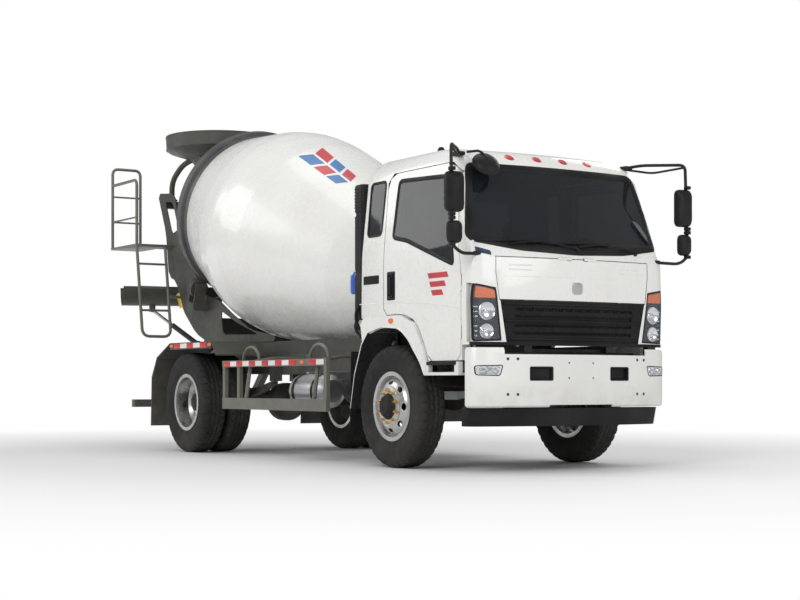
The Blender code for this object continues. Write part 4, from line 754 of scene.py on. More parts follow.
def rearWheel(name, side):
    # Twin tyres and barrels with the outer disc dished inwards.
    body = name + "_rear_wheels"
    axis = np.array((0, side, 0))
    outerCentre = np.array((rearAxleX, side * 1.0025, hubZ))
    innerCentre = np.array((rearAxleX, side * 0.7325, hubZ))
    for place, centre in (("outer", outerCentre), ("inner", innerCentre)):
        buildPiece("rear_tyre_tread_%s_%s" % (place, name), [tyreShape(centre, axis)], "tyreRubber", body,
                   ["rear_tyre_%s_%s" % (place, name)], smooth=40)
    curve = [(0.13, -0.12), (0.18, -0.115), (0.205, -0.10), (0.222, -0.07), (0.242, -0.03)]
    shapes = []
    for centre, way in ((outerCentre, axis), (innerCentre, -axis)):
        shapes.append(spun(barrel, centre, way, 96, closed=True))
        shapes += discShape(centre, way, 0.15, 0.216, curve, 8, (0.030, 0.017))
        for ring in ([(0.216, -0.0815), (0.222, -0.07), (0.2405, -0.032)], [(0.15, -0.118), (0.09, -0.12)]):
            points = np.array(ring)
            shapes.append(spun(np.concatenate([points + (0, 0.003), points[::-1] - (0, 0.008)]), centre, way,
                               96, closed=True))
    rim = buildPiece("rear_wheel_discs_" + name, shapes, "rimMetal", body, ["rear_rims_" + name])
    wall = rim.modifiers.new("wall", "SOLIDIFY")
    wall.thickness = 0.0035
    wall.offset = -1
    buildPiece("rear_wheel_nuts_" + name, nutRing(outerCentre, axis, 0.126, -0.117, 10, 0.0135, 0.036),
               "rimMetal", body)
    buildPiece("rear_wheel_hub_" + name,
               [spun([(0, -0.2), (0.098, -0.2), (0.098, -0.06), (0.088, -0.03), (0.086, 0.0), (0.076, 0.012),
                      (0.05, 0.02), (0, 0.021)], outerCentre, axis, 48)]
               + nutRing(outerCentre, axis, 0.07, 0.008, 8, 0.006, 0.01), "blackMetal", body)


for sideName, sideSign in sides.items():
    frontWheel(sideName, sideSign)
    rearWheel(sideName, sideSign)
print("wheels made")


# Drum.

drum = {
    "start": np.array((-1.0 + axleX, 0, 1.485)),
    "tilt": math.radians(16.07),
    "profile": [(0.35, -0.1), (0.67, 0.65), (0.97, 1.84), (1.012, 2.15), (1.02, 2.38), (0.99, 2.62),
                (0.838, 3.285), (0.845, 3.36)],
    "tailFrom": 3.27,
    "steps": 160,
    "seams": (0.65, 1.84, 2.62),
    "leftPatchesLower": math.radians(16),
    "patches": (
        # finish, two angles down from the top, distances along the drum at each
        ("redPaint", (11.8, 19.0), (1.829, 1.605), (1.751, 1.532)),
        ("bluePaint", (12.0, 18.8), (1.566, 1.380), (1.495, 1.314)),
        ("redPaint", (11.8, 19.0), (1.344, 1.187), (1.272, 1.114)),
        ("bluePaint", (20.6, 27.9), (1.749, 1.535), (1.814, 1.596)),
        ("redPaint", (20.6, 27.9), (1.493, 1.329), (1.550, 1.368)),
        ("bluePaint", (20.8, 27.9), (1.284, 1.120), (1.336, 1.172)),
    ),
}
drumAlong = np.array((-math.cos(drum["tilt"]), 0, math.sin(drum["tilt"])))
drumUp = np.array((math.sin(drum["tilt"]), 0, math.cos(drum["tilt"])))
drumAcross = np.array((0, 1.0, 0))


def drumPoint(s, radius, angle):
    # angle is turned from straight up towards the left side.
    ring = np.cos(angle)[..., None] * drumUp + np.sin(angle)[..., None] * drumAcross
    return drum["start"] + s[..., None] * drumAlong + radius[..., None] * ring


def makeDrum():
    # Radius = smoothed profile of the distance along the axis + a bead exp(-d^2) at each weld.
    profile = np.array(drum["profile"])
    s = np.linspace(-0.1, drum["tailFrom"], 150)
    radius = np.interp(s, profile[:, 1], profile[:, 0])
    kernel = np.ones(5) / 5
    radius[3:-3] = np.convolve(radius, kernel, "same")[3:-3]
    for seam in drum["seams"]:
        radius = radius + 0.0018 * np.exp(-((s - seam) / 0.012) ** 2)
    radius = np.minimum(radius, 1.0199)
    angle = np.linspace(0, 2 * math.pi, drum["steps"], endpoint=False)
    inner = np.stack([radius[::-1] - 0.008, s[::-1]], 1)
    section = np.concatenate([np.stack([radius, s], 1), inner])
    points = drumPoint(section[:, 1, None] + 0 * angle, section[:, 0, None] + 0 * angle,
                       angle + 0 * section[:, :1])
    head = spun([(0, -0.1), (0.12, -0.1), (0.2, -0.098), (0.35, -0.0995), (0.345, -0.09), (0, -0.08)],
                drum["start"], drumAlong, 64)
    shell = buildPiece("drum_barrel", [gridShape(points, closeU=True), head], "drumPaint", "drum",
                       ["drum_shell"])
    tail = [(0.839, 3.268), (0.8405, 3.30), (0.847, 3.355), (0.866, 3.361), (0.875, 3.366), (0.875, 3.454),
            (0.866, 3.46), (0.80, 3.462), (0.65, 3.7), (0.505, 3.938), (0.5, 3.95), (0.488, 3.945),
            (0.492, 3.93),
            (0.638, 3.69), (0.785, 3.452), (0.83, 3.40), (0.830, 3.268)]
    tailShape = spun(tail, drum["start"], drumAlong, drum["steps"], closed=True)
    bolts = nutRing(drum["start"], drumAlong, 0.846, 3.352, 24, 0.007, 0.008)
    buildPiece("drum_tail", [tailShape, *bolts], "drumTail", "drum")
    lookup = np.stack([s, radius])
    for finish in ("redPaint", "bluePaint"):
        shapes = []
        for patchFinish, angles, first, second in drum["patches"]:
            if patchFinish != finish:
                continue
            u, v = np.meshgrid(np.linspace(0, 1, 15), np.linspace(0, 1, 15), indexing="ij")
            start = first[0] + (first[1] - first[0]) * v
            end = second[0] + (second[1] - second[0]) * v
            spot = start * (1 - u) + end * u
            turn = np.radians(angles[0] + (angles[1] - angles[0]) * u)
            for side, lower in ((-1, 0), (1, drum["leftPatchesLower"])):
                around = side * (turn + lower)
                top = drumPoint(spot, np.interp(spot, *lookup) + 0.0015, around)
                under = drumPoint(spot, np.interp(spot, *lookup) - 0.001, around)
                shapes.append(slabShape(top, under))
        buildPiece("drum_patches_" + finish[:-5], shapes, finish, "drum")
    return shell


def slabShape(top, under):
    # Two matching grids joined round their border into one closed sheet.
    rows, columns = top.shape[:2]
    first = gridShape(top, closeV=False)[1]
    count = rows * columns
    second = [[k + count for k in face[::-1]] for face in first]
    index = np.arange(count).reshape(rows, columns)
    rim = np.concatenate([index[0, :-1], index[:-1, -1], index[-1, :0:-1], index[:0:-1, 0]])
    after = np.roll(rim, -1)
    wall = np.stack([after, rim, rim + count, after + count], 1).tolist()
    return np.concatenate([top.reshape(-1, 3), under.reshape(-1, 3)]), first + second + wall


makeDrum()
print("drum made")


# Cab trim.

doorWindow = [(-0.016, 2.285), (-0.061, 1.817), (0.162, 1.776), (0.836, 1.546), (0.745, 2.25)]
quarterWindow = [(-0.445, 2.3), (-0.455, 1.855), (-0.225, 1.855), (-0.2, 2.3)]
windscreen = [(-0.91, 1.735), (-0.5, 1.675), (0, 1.655), (0.5, 1.675), (0.91, 1.735), (0.8, 2.33),
              (-0.8, 2.33)]


def grownOutline(outline, distance, radius, count=120):
    # The outline with rounded corners, moved outwards.
    outer = evenOutline(roundedPath(outline, radius, closed=True), count)
    return insetOutline(outer, -distance)


wipers = {
    "spans": ((0.62, 0.02), (0.02, -0.60)),  # pivot and tip, from the middle
    "pivotHeight": 1.684,
    "bladeHeights": (1.728, 1.742),
}


def windscreenTrim():
    # The seal is a band on the cab's front; each wiper is a tube lifted off it along a sine arc.
    outer = grownOutline(windscreen, 0.012, 0.06, 160)
    inner = insetOutline(outer, 0.055)
    buildPiece("windscreen_surround", [bandOn(outer, inner, cabFront, forward, sealSection)], "blackPlastic",
               "cab")
    shapes = []
    for pivot, tip in wipers["spans"]:
        y = np.linspace(pivot, tip, 24)
        lift = np.linspace(0.018, 0.022, 24)
        z = 1.685 + 0.035 * np.sin(np.linspace(0, math.pi, 24)) + 0.02 * np.linspace(0, 1, 24)
        arm = lifted(cabFront, y, z, lift, forward)
        shapes.append(tubeAlong(arm, 0.006, 8))
        y = np.linspace(tip + 0.33, tip - 0.27, 24)
        z = np.interp(y, [tip - 0.27, tip + 0.33], wipers["bladeHeights"])
        shapes.append(tubeAlong(lifted(cabFront, y, z, np.full(24, 0.012), forward), 0.0075, 8))
        base = lifted(cabFront, np.array(pivot), np.array(wipers["pivotHeight"]), 0.0, forward)
        shapes.append(spun([(0, -0.004), (0.02, -0.004), (0.018, 0.014), (0.010, 0.024), (0, 0.026)], base,
                           (1, 0, 0.2), 20))
    buildPiece("wipers", shapes, "blackPlastic", "cab")


sideParts = {
    # outlines are (x, height)
    "handlePocket": ((-0.122, 1.328), (0.0, 1.328), (0.0, 1.557), (-0.122, 1.557)),
    "handleLever": ((-0.100, 1.345), (-0.022, 1.345), (-0.022, 1.540), (-0.100, 1.540)),
    "vent": ((-0.489, 1.470), (-0.245, 1.470), (-0.245, 1.540), (-0.489, 1.540)),
    "slatHeights": (1.481, 1.496, 1.511, 1.526),
    "creaseAt": (-0.55, 0.07, 0.5, 0.92),
    "creaseHeight": (1.315, 1.309, 1.276, 1.231),
    "arch": ((0.47, 0.728), (0.405, 0.83), (0.315, 0.925), (0.221, 1.02), (0.074, 1.1), (-0.15, 1.115),
             (-0.351, 1.076)),
    "stepRibs": 12,
    "markBars": 3,
}


def sideTrim(name, side):
    # Seals, panes, handle, vent, creases, side lamp, arch lip, step and plain mark, laid on the cab's side.
    surface = sideFace(side)
    outward = np.array((0, side, 0.0))
    door = name + "_door"
    outer = grownOutline(doorWindow, 0.006, 0.05)
    buildPiece("door_window_seal_" + name, [bandOn(outer, insetOutline(outer, 0.034), surface, outward,
                                                   sealSection)],
               "blackPlastic", door)
    outer = grownOutline(quarterWindow, 0.004, 0.05)
    buildPiece("quarter_window_seal_" + name,
               [bandOn(outer, insetOutline(outer, 0.022), surface, outward, sealSection)], "blackPlastic",
               "cab")
    pane = evenOutline(roundedPath(quarterWindow, 0.05, closed=True), 96)
    buildPiece("quarter_window_pane_" + name, [plateOn(pane, surface, outward, -0.001, -0.007)],
               "tintedGlass", "cab")
    handle = evenOutline(roundedPath(sideParts["handlePocket"], 0.012, closed=True), 64)
    lever = evenOutline(roundedPath(sideParts["handleLever"], 0.02, closed=True), 64)
    y = side * 0.94
    buildPiece("door_handle_" + name,
               [plateOn(handle, surface, outward, 0.003, -0.004),
                bandOn(lever, insetOutline(lever, 0.014), surface, outward,
                       [(0, 0), (0, 0.010), (0.3, 0.014), (0.8, 0.012), (1, 0.006), (1, 0)]),
                block((axleX - 0.075, y, 1.37), (axleX - 0.047, y + side * 0.018, 1.515), 0.008)],
               "blackPlastic", door)
    vent = evenOutline(roundedPath(sideParts["vent"], 0.01, closed=True), 64)
    slats = [block((axleX - 0.478, y, z), (axleX - 0.256, y + side * 0.008, z + 0.006), 0.002)
             for z in sideParts["slatHeights"]]
    buildPiece("side_vent_" + name, [plateOn(vent, surface, outward, 0.0025, -0.004), *slats],
               "blackPlastic", "cab")
    for label, body, first, last in (("rear", "cab", -0.548, -0.185), ("door", door, -0.16, 0.905)):
        x = np.linspace(first, last, 40)
        z = np.interp(x, sideParts["creaseAt"], sideParts["creaseHeight"])
        buildPiece("side_crease_%s_%s" % (label, name),
                   [tubeAlong(lifted(surface, x, z, np.full(40, -0.0015), outward), 0.0048, 10)], "cabPaint",
                   body)
    angle = np.linspace(0, 2 * math.pi, 40, endpoint=False)
    lamp = np.stack([-0.023 + 0.036 * np.cos(angle), 1.163 + 0.021 * np.sin(angle)], 1)
    archSurface = wallAlong(side * 0.965)
    buildPiece("side_repeater_" + name, [plateOn(lamp, archSurface, outward, 0.010, -0.003, edge=0.2)],
               "orangeLens", "cab")
    arch = curveThrough(sideParts["arch"], 60)
    lip = np.stack([arch[:, 0] + axleX, np.full(60, side * 0.963), arch[:, 1] + 0.003], 1)
    buildPiece("arch_lip_" + name, [tubeAlong(lip, 0.010, 12)], "cabPaint", "cab")
    ribs = [block((axleX + 0.52 + 0.03 * k, side * 0.84, 0.748),
                  (axleX + 0.535 + 0.03 * k, side * 0.958, 0.754), 0.002)
            for k in range(sideParts["stepRibs"])]
    tread = block((axleX + 0.515, side * 0.835, 0.743), (axleX + 0.885, side * 0.962, 0.7505), 0.003)
    upper = block((axleX + 0.50, side * 0.965, 0.806), (axleX + 0.90, side * 0.972, 0.832), 0.005)
    buildPiece("step_tread_" + name, [tread, upper, *ribs], "blackPlastic", "cab")
    mark = []
    for k in range(sideParts["markBars"]):
        upperEdge = np.array([(0.47 + 0.025 * k, 1.512 - 0.066 * k), (0.74 - 0.035 * k, 1.512 - 0.066 * k)])
        upperEdge = curveThrough(upperEdge, 12)
        mark.append(stripOn(upperEdge, upperEdge + (0.022, -0.042), surface, outward, 0.0012))
    buildPiece("door_mark_" + name, mark, "redPaint", door)


def stripOn(upper, lower, surface, outward, rise):
    # A thin sheet between two edges laid on a surface.
    share = np.linspace(0, 1, 4)[:, None, None]
    flat = upper * (1 - share) + lower * share
    top = lifted(surface, flat[..., 0], flat[..., 1], np.full(flat.shape[:2], rise), outward)
    under = lifted(surface, flat[..., 0], flat[..., 1], np.full(flat.shape[:2], -0.001), outward)
    return slabShape(top, under)


headlights = {
    # outlines are (distance from the middle, height)
    "outline": ((0.677, 0.985), (0.915, 0.975), (0.925, 1.30), (0.915, 1.415), (0.73, 1.38)),
    "barHeights": (1.288, 1.125),
    "bowls": ((0.80, 1.205, 0.066), (0.80, 1.055, 0.056)),  # distance from the middle, height, radius
    "indicator": ((0.712, 1.300), (0.905, 1.300), (0.898, 1.392), (0.740, 1.366)),
    "facetRows": 7,
    "facetColumns": 3,
}


def headlight(name, side):
    # Plates and bands on the cab's front at their own depths, with spun bowls between them.
    outline = np.array(headlights["outline"]) * (side, 1)
    outer = evenOutline(roundedPath(outline, 0.03, closed=True), 96)
    inner = insetOutline(outer, 0.014)
    pocket = plateOn(insetOutline(outer, 0.002), cabFront, forward, -0.026, -0.032)
    bezel = bandOn(outer, inner, cabFront, forward,
                   [(0, -0.030), (0, -0.002), (0.3, 0.001), (0.8, 0.001), (1, -0.004), (1, -0.030)])
    bars = []
    for z in headlights["barHeights"]:
        y = np.linspace(0.70, 0.915, 20) * side
        bars.append(stripOn(np.stack([y, np.full(20, z + 0.006)], 1),
                            np.stack([y, np.full(20, z - 0.006)], 1),
                            sunk(cabFront, 0.008), forward, 0.003))
    buildPiece("headlight_housing_" + name, [pocket, bezel, *bars], "blackPlastic", "cab",
               ["headlight_" + name])
    bowls = []
    for y, z, size in headlights["bowls"]:
        spot = cabFront(np.array(side * y), np.array(z)) - (0.026, 0, 0)
        bowls.append(spun([(0, 0.001), (size * 0.3, 0.002), (size * 0.62, 0.007), (size * 0.9, 0.016),
                           (size, 0.022), (size * 1.05, 0.019), (size * 0.6, 0.0), (0, -0.002)], spot,
                          (1, side * 0.12, 0), 40))
        bowls.append(spun([(0, 0), (size * 0.28, 0), (size * 0.26, 0.012), (size * 0.12, 0.019), (0, 0.02)],
                          spot, (1, side * 0.12, 0), 24))
    facets = []
    for i in range(headlights["facetColumns"]):
        for k in range(headlights["facetRows"]):
            y, z = side * (0.885 + 0.012 * (i - 1)), 1.02 + 0.036 * k
            spot = cabFront(np.array(y), np.array(z)) - (0.022, 0, 0)
            facets.append(spun([(0, 0), (0.009, 0), (0.005, 0.007), (0, 0.009)], spot, (1, side * 0.6, 0), 6))
    buildPiece("headlight_reflectors_" + name, bowls + facets, "reflectorChrome", "cab", smooth=25)
    amber = evenOutline(roundedPath(np.array(headlights["indicator"]) * (side, 1), 0.016, closed=True), 64)
    buildPiece("headlight_indicator_" + name, [plateOn(amber, cabFront, forward, -0.004, -0.024)],
               "orangeLens", "cab")
    lens = plateOn(insetOutline(outer, 0.010), cabFront, forward, -0.0005, -0.0035)
    buildPiece("headlight_lens_" + name, [lens], "clearLens", "cab")


bumperParts = {
    # outlines are (distance from the middle, height)
    "fogOutline": ((0.715, 0.722), (0.905, 0.726), (0.912, 0.800), (0.690, 0.806)),
    "fogBowls": (0.755, 0.850),
    "fogHeight": 0.763,
    "towOutline": ((0.274, 0.687), (0.476, 0.687), (0.476, 0.794), (0.274, 0.794)),
    "boltsAcross": (0.575, 0.655),
    "boltHeights": (0.850, 0.585),
    "plateOutline": ((-0.196, 0.686), (0.170, 0.686), (0.170, 0.843), (-0.196, 0.843)),
    "plateBoltsAcross": (-0.13, 0.10),
    "plateBoltHeights": (0.708, 0.822),
    "panelHalf": 0.905,
    "panelHeights": (0.345, 0.480),
    "panelBack": 0.885,
    "gapPanel": ((1.028, -0.63, 0.84), (1.040, 0.63, 0.905)),
}


def bumperTrim():
    # Fog lamps, tow holes, bolts, a blank plate holder and the panel below, all on the bumper's front.
    shapes = []
    lamps = []
    lenses = []
    for side in (-1, 1):
        outline = np.array(bumperParts["fogOutline"]) * (side, 1)
        outer = evenOutline(roundedPath(outline, 0.02, closed=True), 72)
        shapes.append(bandOn(outer, insetOutline(outer, 0.009), bumperFront, forward,
                             [(0, -0.008), (0, 0.001), (0.5, 0.003), (1, -0.002), (1, -0.008)]))
        lamps.append(plateOn(insetOutline(outer, 0.008), bumperFront, forward, 0.0005, -0.008))
        for y in bumperParts["fogBowls"]:
            spot = bumperFront(np.array(side * y), np.array(bumperParts["fogHeight"])) + (0.0005, 0, 0)
            lamps.append(spun([(0, -0.003), (0.030, -0.003), (0.029, 0.003), (0.014, 0.0015), (0, 0.004)],
                              spot, (1, side * 0.3, 0), 24))
        lenses.append(plateOn(insetOutline(outer, 0.008), bumperFront, forward, 0.0065, 0.0045))
        holder = np.array(bumperParts["towOutline"]) * (side, 1)
        outer = evenOutline(roundedPath(holder, 0.012, closed=True), 72)
        shapes.append(bandOn(outer, insetOutline(outer, 0.012), bumperFront, forward,
                             [(0, -0.012), (0, 0.0015), (0.5, 0.002), (1, -0.004), (1, -0.030),
                              (0.9, -0.030)]))
        shapes.append(plateOn(insetOutline(outer, 0.008), bumperFront, forward, -0.024, -0.028))
    buildPiece("bumper_recesses", shapes, "blackPlastic", "chassis")
    buildPiece("fog_lamps", lamps, "reflectorChrome", "chassis")
    buildPiece("fog_lamp_lenses", lenses, "clearLens", "chassis")
    bolts = []
    for side in (-1, 1):
        for y in bumperParts["boltsAcross"]:
            for z in bumperParts["boltHeights"]:
                spot = bumperFront(np.array(side * y), np.array(z))
                bolts.append(spun([(0, -0.002), (0.011, -0.002), (0.011, 0.002), (0.0075, 0.0025),
                                   (0.007, 0.006),
                                   (0, 0.007)], spot, (1, side * 0.1, 0), 12))
    for y in bumperParts["plateBoltsAcross"]:
        for z in bumperParts["plateBoltHeights"]:
            spot = bumperFront(np.array(y), np.array(z))
            bolts.append(spun([(0, -0.002), (0.007, -0.002), (0.006, 0.003), (0, 0.004)], spot, (1, 0, 0),
                              12))
    buildPiece("bumper_bolts", bolts, "castIron", "chassis")
    frameOutline = evenOutline(roundedPath(bumperParts["plateOutline"], 0.012, closed=True), 72)
    plate = bandOn(frameOutline, insetOutline(frameOutline, 0.006), bumperFront, forward,
                   [(0, -0.002), (0, 0.0012), (0.5, 0.002), (1, 0.0012), (1, -0.002)])
    buildPiece("plate_holder", [plate], "bumperPaint", "chassis")
    y = bumperParts["panelHalf"] * np.sin(np.linspace(-math.pi / 2, math.pi / 2, 80))
    yy, zz = np.meshgrid(y, np.linspace(*bumperParts["panelHeights"], 8), indexing="ij")
    skin = underFront(yy, zz)
    back = np.stack([np.full(yy.shape, bumperParts["panelBack"] + axleX), yy, zz], -1)
    valance = [slabShape(skin, back)]
    low, high = np.array(bumperParts["gapPanel"]) + (axleX, 0, 0)
    valance.append(block(low, high, 0.004))
    buildPiece("under_bumper_panel", valance, "blackPlastic", "chassis", bevel=0.003)


frontParts = {
    "ridgeHeights": (1.555, 1.520),
    "foldHeight": 1.470,
    "grilleBars": ((1.262, 0.665), (1.135, 0.655), (1.000, 0.630)),  # height, half length
    "slotHeights": (1.205, 1.070),
    "slotCount": 13,
    "slotPitch": 0.09,
    "wireHeights": (1.020, 1.250),
    "wireCount": 12,
    "markersAcross": (-0.38, -0.127, 0.127, 0.38),
    "markerHeight": 2.405,
    "blankPlate": ((-0.05, 1.345), (0.05, 1.345), (0.05, 1.435), (-0.05, 1.435)),
    "film": ((-0.88, 1.64), (-0.76, 1.620), (-0.76, 1.655), (-0.88, 1.685)),
}


def frontTrim():
    # Flap ridges, grille, roof markers, blank plate and film: strips, tubes and plates on the cab's front.
    ridges = []
    for side in (-1, 1):
        for z in frontParts["ridgeHeights"]:
            y = np.linspace(0.42, 0.62, 20) * side
            ridges.append(stripOn(np.stack([y, np.full(20, z + 0.005)], 1),
                                  np.stack([y, np.full(20, z - 0.005)], 1), cabFront, forward, 0.0025))
    y = np.linspace(-0.66, 0.66, 80)
    ridges.append(tubeAlong(lifted(cabFront, y, np.full(80, frontParts["foldHeight"]), np.full(80, -0.003),
                                   forward), 0.0045, 8))
    buildPiece("flap_ridges", ridges, "cabPaint", "front_panel")
    bars = []
    for z, half in frontParts["grilleBars"]:
        y = np.linspace(-half, half, 90)
        bars.append(tubeAlong(lifted(cabFront, y, np.full(90, z), np.full(90, -0.004), forward), 0.011, 10))
    for z in frontParts["slotHeights"]:
        for k in range(frontParts["slotCount"]):
            yc = -0.54 + frontParts["slotPitch"] * k
            angle = np.linspace(0, 2 * math.pi, 32, endpoint=False)
            outer = np.stack([yc + 0.040 * np.sign(np.cos(angle)) * np.abs(np.cos(angle)) ** 0.5,
                              z + 0.030 * np.sign(np.sin(angle)) * np.abs(np.sin(angle)) ** 0.5], 1)
            bars.append(bandOn(outer, insetOutline(outer, 0.010), cabFront, forward,
                               [(0, -0.014), (0, -0.006), (0.5, -0.001), (1, -0.006), (1, -0.014)]))
    buildPiece("grille_bars", bars, "blackPlastic", "front_panel")
    y = np.linspace(-0.62, 0.62, 60)
    mesh = [stripOn(np.stack([y, np.full(60, 1.278)], 1), np.stack([y, np.full(60, 0.992)], 1),
                    sunk(cabFront, 0.017), forward, 0.001)]
    y = np.linspace(-0.60, 0.60, 90)
    for z in np.linspace(*frontParts["wireHeights"], frontParts["wireCount"]):
        mesh.append(tubeAlong(lifted(cabFront, y, np.full(90, z), np.full(90, -0.012), forward), 0.0022, 6))
    buildPiece("grille_mesh", mesh, "blackPlastic", "front_panel")
    y = np.linspace(-0.925, 0.925, 120)
    buildPiece("cab_lower_edge", [stripOn(np.stack([y, np.full(120, 0.976)], 1),
                                          np.stack([y, np.full(120, 0.952)], 1),
                                          cabFront, forward, 0.003)], "blackPlastic", "cab")
    marks = []
    angle = np.linspace(0, 2 * math.pi, 28, endpoint=False)
    for y in frontParts["markersAcross"]:
        outline = np.stack([y + 0.040 * np.cos(angle), frontParts["markerHeight"] + 0.022 * np.sin(angle)], 1)
        marks.append(plateOn(outline, cabFront, forward, 0.009, -0.003, edge=0.25))
    buildPiece("roof_markers", marks, "redLens", "cab")
    plates = []
    outline = evenOutline(roundedPath(frontParts["blankPlate"], 0.03, closed=True), 48)
    plates.append(plateOn(outline, cabFront, forward, 0.004, -0.002))
    buildPiece("flap_plate", plates, "tankAluminium", "front_panel")
    film = evenOutline(roundedPath(frontParts["film"], 0.01, closed=True), 48)
    buildPiece("cowl_film", [plateOn(film, cabFront, forward, 0.0015, -0.002)], "steelBlueFilm", "cab")


for sideName, sideSign in sides.items():
    sideTrim(sideName, sideSign)
    headlight(sideName, sideSign)
windscreenTrim()
bumperTrim()
frontTrim()
print("cab trim made")


# Mirrors.

mirrors = {
    # points are (x, distance from the middle, height)
    "arm": ((0.70, 0.80, 2.41), (0.82, 0.90, 2.43), (1.08, 1.13, 2.42), (1.10, 1.14, 1.68),
            (1.10, 1.05, 1.62),
            (1.03, 0.85, 1.63)),
    "armRadius": 0.0125,
    "brace": ((0.72, 0.82, 2.40), (0.90, 0.94, 2.36), (1.08, 1.13, 2.40)),
    "braceRadius": 0.009,
    "bend": 0.05,
    "feet": (((0.66, 0.78, 2.395), (0.76, 0.86, 2.428)), ((1.005, 0.84, 1.612), (1.055, 0.90, 1.648))),
    "front": 1.132,
    "heads": (
        # inner and outer side, bottom, top, depth
        (1.030, 1.180, 1.920, 2.220, 0.075),
        (1.050, 1.170, 1.690, 1.860, 0.06),
    ),
    "clampHeights": (2.235, 1.905, 1.875, 1.680),
}


def mirrorSet(name, side):
    # Tubes along rounded paths; a head is one outline scaled about its middle as a function of depth.
    def at(x, y, z):
        # A point on this side, counted from the front axle.
        return (x + axleX, side * y, z)
    arm = roundedPath([at(*spot) for spot in mirrors["arm"]], mirrors["bend"])
    brace = roundedPath([at(*spot) for spot in mirrors["brace"]], mirrors["bend"])
    feet = [block(at(*low), at(*high), 0.012) for low, high in mirrors["feet"]]
    tubes = [tubeAlong(arm, mirrors["armRadius"], 14), tubeAlong(brace, mirrors["braceRadius"], 12)]
    buildPiece("mirror_arm_" + name, [*tubes, *feet], "blackMetal", "cab", ["mirrors_" + name])
    heads, glasses = [], []
    front = mirrors["front"] + axleX
    for y0, y1, z0, z1, deep in mirrors["heads"]:
        outline = evenOutline(roundedPath([(y0, z0), (y1, z0), (y1, z1), (y0, z1)], 0.045, closed=True), 56)
        middle = outline.mean(0)
        rows = []
        for share, back in ((0.0, 0), (0.55, 0.003), (0.85, 0.012), (0.97, 0.028), (1.0, 0.045),
                            (0.99, deep - 0.004),
                            (0.965, deep), (0.93, deep - 0.006), (0.0, deep - 0.006)):
            flat = middle + (outline - middle) * share
            rows.append(np.stack([front - back + 0 * flat[:, 0], side * flat[:, 0], flat[:, 1]], 1))
        heads.append(gridShape(np.stack(rows)))
        rows = []
        for share, lift in ((0, 0.001), (0.9, 0.003), (0.92, 0.006), (0, 0.005)):
            flat = middle + (outline - middle) * share
            across = side * (middle[0] + (outline[:, 0] - middle[0]) * share)
            rows.append(np.stack([front - deep + lift + 0 * across, across, flat[:, 1]], 1))
        glasses.append(gridShape(np.stack(rows)))
    for z in mirrors["clampHeights"]:
        heads.append(block(at(1.078, 1.115, z - 0.014), at(1.122, 1.158, z + 0.014), 0.006))
    buildPiece("mirror_heads_" + name, heads, "blackPlastic", "cab")
    buildPiece("mirror_glass_" + name, glasses, "mirrorGlass", "cab")


for sideName, sideSign in sides.items():
    mirrorSet(sideName, sideSign)


def roofFittings():
    # A dome spun about a tilted axis on a bent stalk, and a small roof lamp.
    spot = np.array((0.93 + axleX, -0.70, 2.335))
    domeProfile = [(0, 0.018), (0.05, 0.014), (0.09, 0.0), (0.108, -0.02), (0.112, -0.034), (0.104, -0.036),
                   (0, -0.030)]
    stalk = roundedPath([(0.72 + axleX, -0.74, 2.43), (0.86 + axleX, -0.72, 2.425),
                         (0.925 + axleX, -0.70, 2.36)], 0.04)
    buildPiece("blind_spot_mirror", [spun(domeProfile, spot, (0.75, -0.1, 0.6), 40),
                                     tubeAlong(stalk, 0.010, 12)],
               "blackPlastic", "cab")
    horn = [spun([(0, 0), (0.05, 0), (0.05, 0.012), (0.034, 0.026), (0.026, 0.05), (0.018, 0.062),
                  (0, 0.066)],
                 (0.18 + axleX, -0.62, 2.478), (0, 0, 1), 32)]
    buildPiece("roof_lamp", horn, "blackPlastic", "cab")


roofFittings()
print("mirrors made")

# Cab inside.

def cushionShape(low, high, crown, sag=0.012, power=5.0, channels=0, channelAxis=0):
    # A superellipsoid of high power whose faces bulge by the crown, pressed in along sewn channels.
    low, high = np.minimum(low, high), np.maximum(low, high)
    centre, half = (low + high) / 2, (high - low) / 2
    u = np.linspace(-math.pi / 2, math.pi / 2, 40)[:, None]
    v = np.linspace(-math.pi, math.pi, 72, endpoint=False)[None]
    raw = np.stack([np.cos(u) * np.cos(v), np.cos(u) * np.sin(v), np.sin(u) + 0 * v], -1)
    size = (np.abs(raw) ** power).sum(-1, keepdims=True) ** (1 / power)
    unit = raw / size
    rim = 1 - np.max(np.abs(unit), axis=-1, keepdims=True) * 0
    bulge = np.prod(np.cos(np.clip(unit, -1, 1) * math.pi / 2) * 0.5 + 0.5, axis=-1, keepdims=True)
    points = unit * half * (1 - sag) + np.sign(unit) * (np.abs(unit) > 0.97) * crown * bulge * rim
    if channels:
        wave = np.cos(unit[..., channelAxis] * math.pi * channels)
        points = points * (1 - 0.035 * np.clip(wave, 0.72, 1)[..., None] * 1.0)
    return gridShape(points + centre, capped=False)


